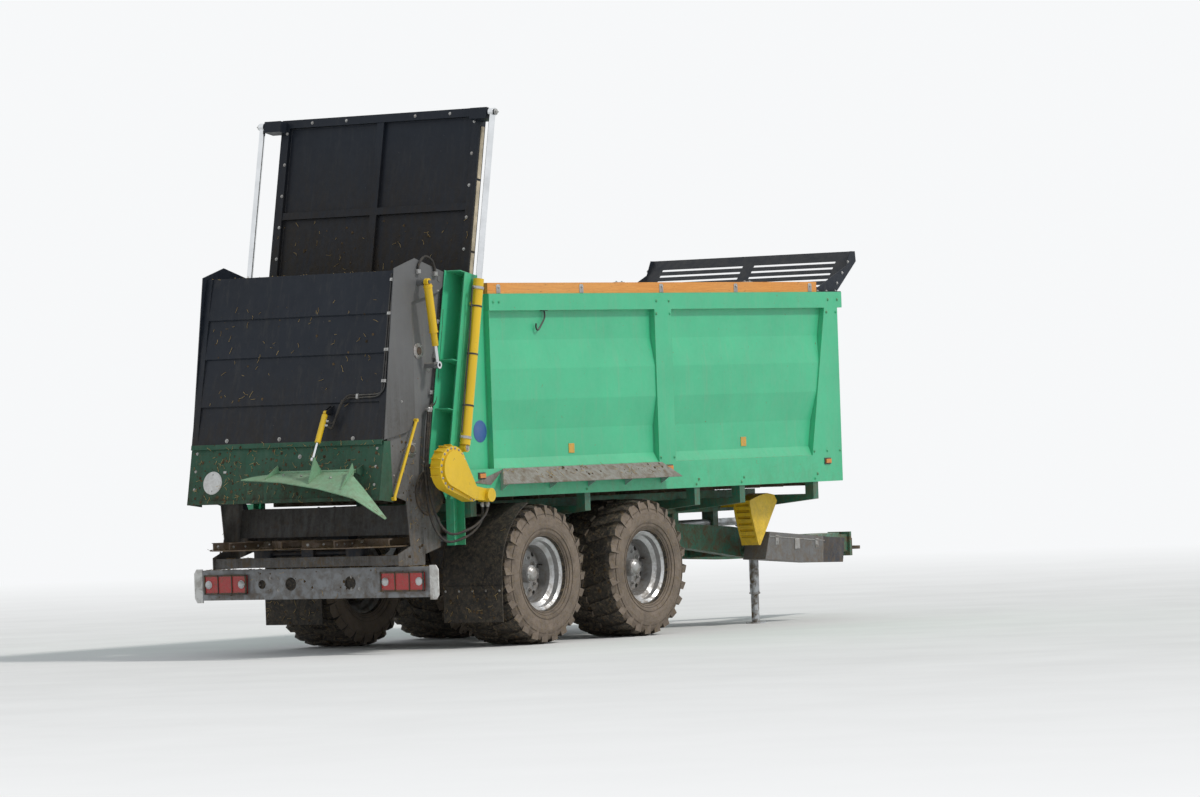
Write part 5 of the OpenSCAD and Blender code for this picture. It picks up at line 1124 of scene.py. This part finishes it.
def hood_cylinder_trim():
    axis = Vector((0.105, 0, -0.680)).normalized()
    off = Vector((0.036, 0, 0.008))
    gland = [(0.419, 0.0178), (0.419, 0.027), (0.525, 0.027), (0.529, 0.024), (0.529, 0.0178)]
    route = [(0.06, 0.8), (0.075, 1.15), (0.24, 1.15), (0.39, 1.15), (0.40, 0.8)]
    for s in SIDES:
        top = C(-1.340, s * 1.088, 3.020)
        t, p = Build(), Build()
        t.turned(top, axis, gland, 28)
        t.collar(top + axis * 0.405, axis, 0.0342, 0.038, 0.0145, 28)
        t.collar(top + axis * 0.030, axis, 0.0342, 0.038, 0.016, 28)
        t.done(f"hood_barrel_gland_{SIDE_NAME[s]}", "yellow", 40, f"hood_barrel_{SIDE_NAME[s]}")
        p.bent([top + axis * down + off * out for down, out in route], 0.005, 8, 4)
        p.done(f"hood_barrel_pipe_{SIDE_NAME[s]}", "black_steel", 50, f"hood_barrel_{SIDE_NAME[s]}")


# Deflector
DEFL_X, DEFL_Z = -1.990, 1.500
DEFL_ROOT = [(-0.036, 0.05, -0.007), (-0.011, 0.038, 0), (-0.011, -0.178, 0), (-0.011, -0.56, 0),
             (-0.011, -0.778, 0), (-0.05, -0.792, -0.038), (-0.015, -0.86, -0.134), (-0.098, -1.152, -0.386)]
DEFL_LIP = [(-0.22, 0.229, -0.043), (-0.228, 0.10, -0.051), (-0.236, -0.178, -0.07), (-0.236, -0.56, -0.128),
            (-0.234, -0.77, -0.178), (-0.232, -0.818, -0.19), (-0.23, -0.917, -0.216),
            (-0.11, -1.147, -0.395)]
DEFL_T, DEFL_ROWS = 0.007, 5
LUG_X, LUG_Z = -2.095, 1.604


def fall(y):
    """How steeply the flap falls to the rear, this far across."""
    slopes = [(-0.77, -0.72), (-0.56, -0.512), (-0.178, -0.28), (0.05, -0.2)]
    for (ya, a), (yb, b) in zip(slopes, slopes[1:]):
        if y <= yb:
            return a + (b - a) * max(0.0, y - ya) / (yb - ya)
    return slopes[-1][1]


def deflector_edge(points):
    return [C(DEFL_X + x, y, DEFL_Z + z) for x, y, z in points]


def deflector_sheet(b):
    """The folded sheet between its root and its lip, bowed a little and closed round its rim."""
    n, last = len(DEFL_ROOT), DEFL_ROWS - 1
    root, lip = deflector_edge(DEFL_ROOT), deflector_edge(DEFL_LIP)
    top = []
    for k in range(DEFL_ROWS):
        bow = Z * 0.006 * math.sin(k / last * math.pi)
        top += [p.lerp(q, k / last) + bow for p, q in zip(root, lip)]
    m = len(top)
    starts = [k * n + i for k in range(last) for i in range(n - 1)]
    faces = [[i, i + 1, i + n + 1, i + n] for i in starts]
    faces += [[m + j for j in reversed(f)] for f in faces]
    rim = list(range(n)) + [k * n + n - 1 for k in range(1, DEFL_ROWS)]
    rim += [last * n + i for i in range(n - 2, -1, -1)] + [k * n for k in range(last - 1, 0, -1)]
    faces += [[i, j, m + j, m + i] for i, j in zip(rim, rim[1:] + rim[:1])]
    b.add(top + [p - Z * DEFL_T for p in top], faces)


def deflector_plate():
    """The folded flap with its hinge tube, ribs and cylinder lug."""
    b, e, w = Build(), Build(), Build()
    deflector_sheet(b)
    b.collar(C(DEFL_X, -0.790, DEFL_Z), Y, 0.0088, 0.015, 0.840, 24)
    foot = (DEFL_X - 0.010, DEFL_Z - 0.004)
    for y in (-0.010, -0.776):
        tip = DEFL_Z + 0.200 * fall(y)
        b.plate([foot, (DEFL_X - 0.030, DEFL_Z + 0.062), (DEFL_X - 0.200, tip + 0.006),
                 (DEFL_X - 0.200, tip - 0.003)], y, y + 0.008)
    tip = DEFL_Z + 0.200 * fall(DEFL_CYL_Y)
    eye = [(0.016, -0.008), (0.008, 0.016), (-0.008, 0.016), (-0.016, -0.008)]
    eye = [(LUG_X + dx, LUG_Z + dz) for dx, dz in eye]
    b.plate([foot, *eye, (DEFL_X - 0.200, tip + 0.008), (DEFL_X - 0.200, tip - 0.003)],
            DEFL_CYL_Y - 0.020, DEFL_CYL_Y - 0.012)
    b.lathe(C(LUG_X, DEFL_CYL_Y - 0.013, LUG_Z), Y, [(0.0, 0.0075), (0.026, 0.0075), (0.028, 0.006)], 16)
    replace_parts(b.done("deflector_plate", "deflector_green", 25, "deflector"), "deflector")
    e.tube([p - Vector((-0.003, 0, DEFL_T / 2)) for p in deflector_edge(DEFL_LIP[:7])], 0.0055, 8)
    e.done("deflector_lip", "deflector_green", 60, "deflector")
    for y in (-0.60, -0.30, -0.12):
        w.bolt(C(DEFL_X - 0.10, y, DEFL_Z + 0.10 * fall(y) + 0.006), (fall(y), 0, 1), 0.009)
    w.done("deflector_bolts", "zinc", 35, "deflector")


# Beaters and discs
BEATERS = {"beater_lower": ((-1.470, 1.660), 1), "beater_upper": ((-1.330, 2.460), -1)}
BLADES, BLADE_TURN, BLADE_T = 14, 77, 0.012
STALKS = 420
DISC_X, DISC_Y, DISC_Z = -1.600, 0.475, 0.870
VANE_TURN = 10
VANES = 6
BOX_MARGIN = 0.022


def well_inside(p):
    """Far enough inside the CAD's box that what lies there can't reach past it."""
    return all(low + BOX_MARGIN < c < high - BOX_MARGIN for low, c, high in zip(cad_box[0], p, cad_box[1]))


def aside_from_axis():
    a = random.uniform(0, math.tau)
    return Vector((math.cos(a), 0, math.sin(a)))


def cake(b, names, where, clods, strands=0, sizes=(0.0035, 0.017)):
    """Clods and stalks where seeded rays meet the named nodes; where() gives a point and the way out."""
    for k in range(clods + strands):
        point, out = where()
        hit = first_hit(names, point + out * 0.6, -out)
        if hit is None or hit[1].dot(out) < 0.25 or not well_inside(hit[0]):
            continue
        if k < clods:
            b.lump(*hit, sizes[0] + (sizes[1] - sizes[0]) * random.random() ** 3)
        else:
            b.strand(*hit, random.uniform(0.02, 0.06))


def wound_straw(b, x, z):
    """One stalk wound round the tube of a beater."""
    a = random.uniform(0, math.tau)
    y = random.uniform(-0.84, 0.84)
    turn = random.uniform(0.25, 1.3)
    r = 0.1115 + random.uniform(0, 0.004)
    drift = random.uniform(-0.05, 0.05)
    pts = []
    for t in (0, 0.25, 0.5, 0.75, 1.0):
        out = r + 0.018 * abs(t - 0.5) ** 2
        pts.append(C(x + out * math.cos(a + turn * t), y + drift * t, z + out * math.sin(a + turn * t)))
    b.tube(pts, 0.0017, 4)


def beater_trim(body):
    """Bolts through every blade's foot and straw wound round the tube."""
    (x, z), hand = BEATERS[body]
    b, w, c = Build(), Build(), Build()
    for i in range(BLADES):
        y = -0.860 + i * (1.720 - BLADE_T) / (BLADES - 1)
        for half in (0, math.pi):
            a = math.radians(hand * i * BLADE_TURN) + half
            for r, up in ((0.135, -0.030), (0.135, 0.030), (0.270, 0.020)):
                p = C(x + r * math.cos(a) + up * math.sin(a), y, z - r * math.sin(a) + up * math.cos(a))
                b.bolt(p + Y * BLADE_T, Y, 0.010)
                b.prism(p, -Y, 0.010, 0.007)
    b.done(f"{body}_bolts", "zinc_blade", 35, body)
    for _ in range(STALKS):
        wound_straw(w, x, z)
    w.done(f"{body}_straw", "blade_straw", None, body)
    cake(c, body, lambda: (C(x, random.uniform(-0.85, 0.85), z), aside_from_axis()), 260,
         sizes=(0.006, 0.020))
    c.done(f"{body}_cake", "blade_cake", 70, body)


def spinner_trim(s):
    body = f"spinner_{SIDE_NAME[s]}"
    mid = C(DISC_X, s * DISC_Y, DISC_Z)
    b, c = Build(), Build()
    vane = Matrix.Rotation(math.radians(-VANE_TURN * s), 3, "Z")
    for i in range(VANES):
        turn = Matrix.Rotation(i * math.tau / VANES, 3, "Z")
        for r in (0.06, 0.20, 0.33):
            local = vane @ Vector((r, 0.006, 0.035)) + Vector((0.070, 0.030, 0))
            b.bolt(mid + turn @ local, turn @ (vane @ Y), 0.008)
    for p in circle(mid + Z * 0.037, X, Y, 0.095, 6):
        b.bolt(p, Z, 0.009)
    b.done(f"{body}_bolts", "zinc_blade", 35, body)
    cake(c, body, lambda: (mid + Vector((random.uniform(-0.4, 0.4), random.uniform(-0.4, 0.4), 0)), Z),
         200, 120, (0.006, 0.024))
    c.done(f"{body}_cake", "blade_cake", 70, body)


# Dirt and straw
def area(x0, x1, y0, y1, z0, z1, out):
    way = Vector(out).normalized()
    return lambda: (C(random.uniform(x0, x1), random.uniform(y0, y1), random.uniform(z0, z1)), way)


DIRT_PLACES = {
    "hood": ("hood", "hood_lower_panel hood_panel", [
        (area(-1.95, -1.75, -0.95, 0.95, 1.26, 1.75, -X), 330, 150),
        (area(-1.72, -1.66, -0.9, 0.9, 2.0, 2.9, (-1, 0, 0.2)), 40, 60),
        (area(-1.60, -1.15, -0.95, 0.95, 3.1, 3.2, Z), 60, 160)]),
    "light_bar": ("chassis", "light_bar", [
        (area(-1.56, -1.51, -1.15, 1.15, 0.70, 0.70, Z), 260, 120),
        (area(-1.57, -1.56, -1.15, 1.15, 0.46, 0.70, -X), 40, 12)]),
    "spreader": ("chassis", "spreader_frame drive_gearboxes", [
        (area(-1.75, -1.15, 0.9, 1.0, 0.75, 1.8, Y), 130, 60),
        (area(-1.75, -1.15, -1.0, -0.9, 0.75, 1.8, -Y), 130, 60),
        (area(-1.65, -1.10, -0.94, 0.94, 0.8, 1.2, Z), 160, 160)]),
    "chassis": ("chassis", "chassis_frame axles fenders leaf_springs drawbar mudguards", [
        (area(-0.55, 1.9, 1.16, 1.24, 1.4, 1.45, Z), 34, 50),
        (area(-0.55, 1.9, -1.24, -1.16, 1.4, 1.45, Z), 34, 50),
        (area(-1.0, 4.2, -0.47, 0.47, 1.0, 1.2, Z), 200, 240),
        (area(-0.66, -0.64, -1.22, -0.65, 0.22, 0.5, -X), 40, 20),
        (area(-0.66, -0.64, 0.65, 1.22, 0.22, 0.5, -X), 40, 20)]),
    "gate": ("gate", "gate_panel", [
        (area(-0.80, -0.40, -1.0, 1.0, 2.7, 3.6, (-1, 0, 0.2)), 120, 60),
        (area(-0.50, -0.38, -1.0, 1.0, 4.4, 4.45, Z), 20, 60)]),
    "floor": ("chassis", "floor_deck floor_conveyor", [
        (area(-0.95, 4.5, -1.0, 1.0, 1.365, 1.4, Z), 320, 700)]),
}


def dirt(name):
    body, nodes, places = DIRT_PLACES[name]
    b, st = Build(), Build()
    for place, clods, strands in places:
        cake(b, nodes, place, clods)
        cake(st, nodes, place, 0, strands)
    b.done(name + "_cake", "cake", 70, body)
    st.done(name + "_straw", "straw", None, body)


def tyre_mud(which, s):
    name = f"{which}_{SIDE_NAME[s]}"
    mid = C(WHEELS[which], s * WHEEL_Y, WHEEL_Z)
    c = Build()
    cake(c, f"tyre_{name}", lambda: (mid + Y * random.uniform(-0.27, 0.27), aside_from_axis()), 150,
         sizes=(0.008, 0.020))
    c.done(f"tyre_mud_{name}", "tyre_cake", 70, f"wheel_{name}")


# The order below is that of the random draws
for make in (motor_hoses, clamped_lines, body_fasteners, board_clips, board_ends, lamp_trim, fender_gussets,
             side_fittings, plate_feet, spreader_fasteners, gearbox_details, tool_box_trim, chain_links,
             tank_fittings, jack_trim):
    make()
ROAD_WHEELS = [(which, s) for which in WHEELS for s in SIDES]
for wheel in ROAD_WHEELS:
    wheel_trim(*wheel)
for make in (gate_trim, gate_cylinder_fittings, deflector_ports, hood_pipes, hood_clamps, deflector_hoses,
             lower_panel_trim, gable_hose, hood_cylinder_trim, deflector_plate):
    make()
for body in BEATERS:
    beater_trim(body)
for s in SIDES:
    spinner_trim(s)
for name in DIRT_PLACES:
    dirt(name)
for wheel in ROAD_WHEELS:
    tyre_mud(*wheel)


# Studio
BACK = (0.93, 0.94, 0.95, 1.0)
SKY, SKY_STRENGTH = (0.90, 0.95, 1.0, 1.0), 0.62
FADE_FROM, FADE_TO = 9.0, 30.0
FLOOR_HALF = 160.0
# Light from ahead of and above the right side
SUN_FROM = Vector((0.35, -0.95, 1.15)).normalized()
SUN_ENERGY, SUN_ANGLE, SUN_COLOR = 1.75, math.radians(7.0), (1.0, 0.965, 0.92)


def floor_material():
    """Pale concrete that turns into the backdrop's colour away from the machine."""
    g = Graph("floor")
    col = g.mix(g.ramp(g.noise(0.8, 6.0), 0.3, 0.7), (0.70, 0.70, 0.69), (0.76, 0.76, 0.75))
    g.link(col, g.bsdf.inputs["Base Color"])
    g.bsdf.inputs["Roughness"].default_value = 0.9
    g.bsdf.inputs["Specular IOR Level"].default_value = 0.1
    far = g.node("ShaderNodeVectorMath", operation="LENGTH")
    g.link(g.p, far.inputs[0])
    path = g.node("ShaderNodeLightPath")
    glow = g.node("ShaderNodeEmission")
    glow.inputs["Color"].default_value = BACK
    mix = g.node("ShaderNodeMixShader")
    fade = g.ramp(far.outputs["Value"], FADE_FROM, FADE_TO)
    g.link(g.times(fade, path.outputs["Is Camera Ray"]), mix.inputs[0])
    g.link(g.bsdf.outputs[0], mix.inputs[1])
    g.link(glow.outputs[0], mix.inputs[2])
    g.link(mix.outputs[0], g.t.nodes["Material Output"].inputs["Surface"])
    return g.mat


def studio_floor():
    me = bpy.data.meshes.new("floor")
    corners = ((-1, -1), (1, -1), (1, 1), (-1, 1))
    me.from_pydata([(x * FLOOR_HALF, y * FLOOR_HALF, 0) for x, y in corners], [], [(0, 1, 2, 3)])
    me.materials.append(floor_material())
    floor = bpy.data.objects.new("floor", me)
    scene.collection.objects.link(floor)


def studio_world():
    """Sky light, with a pale backdrop for the camera and for what shines or is clear."""
    world = bpy.data.worlds.new("studio")
    scene.world = world
    world.use_nodes = True
    nodes, link = world.node_tree.nodes, world.node_tree.links.new
    nodes.clear()
    out = nodes.new("ShaderNodeOutputWorld")
    path = nodes.new("ShaderNodeLightPath")
    sky = nodes.new("ShaderNodeBackground")
    sky.inputs["Color"].default_value = SKY
    sky.inputs["Strength"].default_value = SKY_STRENGTH
    back = nodes.new("ShaderNodeBackground")
    back.inputs["Color"].default_value = BACK
    seen = path.outputs["Is Camera Ray"]
    for ray in ("Is Glossy Ray", "Is Transmission Ray"):
        add = nodes.new("ShaderNodeMath")
        add.operation = "ADD"
        add.use_clamp = True
        link(seen, add.inputs[0])
        link(path.outputs[ray], add.inputs[1])
        seen = add.outputs[0]
    mix = nodes.new("ShaderNodeMixShader")
    for source, socket in zip((seen, sky.outputs[0], back.outputs[0]), mix.inputs):
        link(source, socket)
    link(mix.outputs[0], out.inputs[0])


def studio_sun():
    sun = bpy.data.lights.new("sun", "SUN")
    sun.energy = SUN_ENERGY
    sun.angle = SUN_ANGLE
    sun.color = SUN_COLOR
    lamp = bpy.data.objects.new("sun", sun)
    lamp.rotation_euler = SUN_FROM.to_track_quat("Z", "Y").to_euler()
    scene.collection.objects.link(lamp)


studio_floor()
studio_world()
studio_sun()
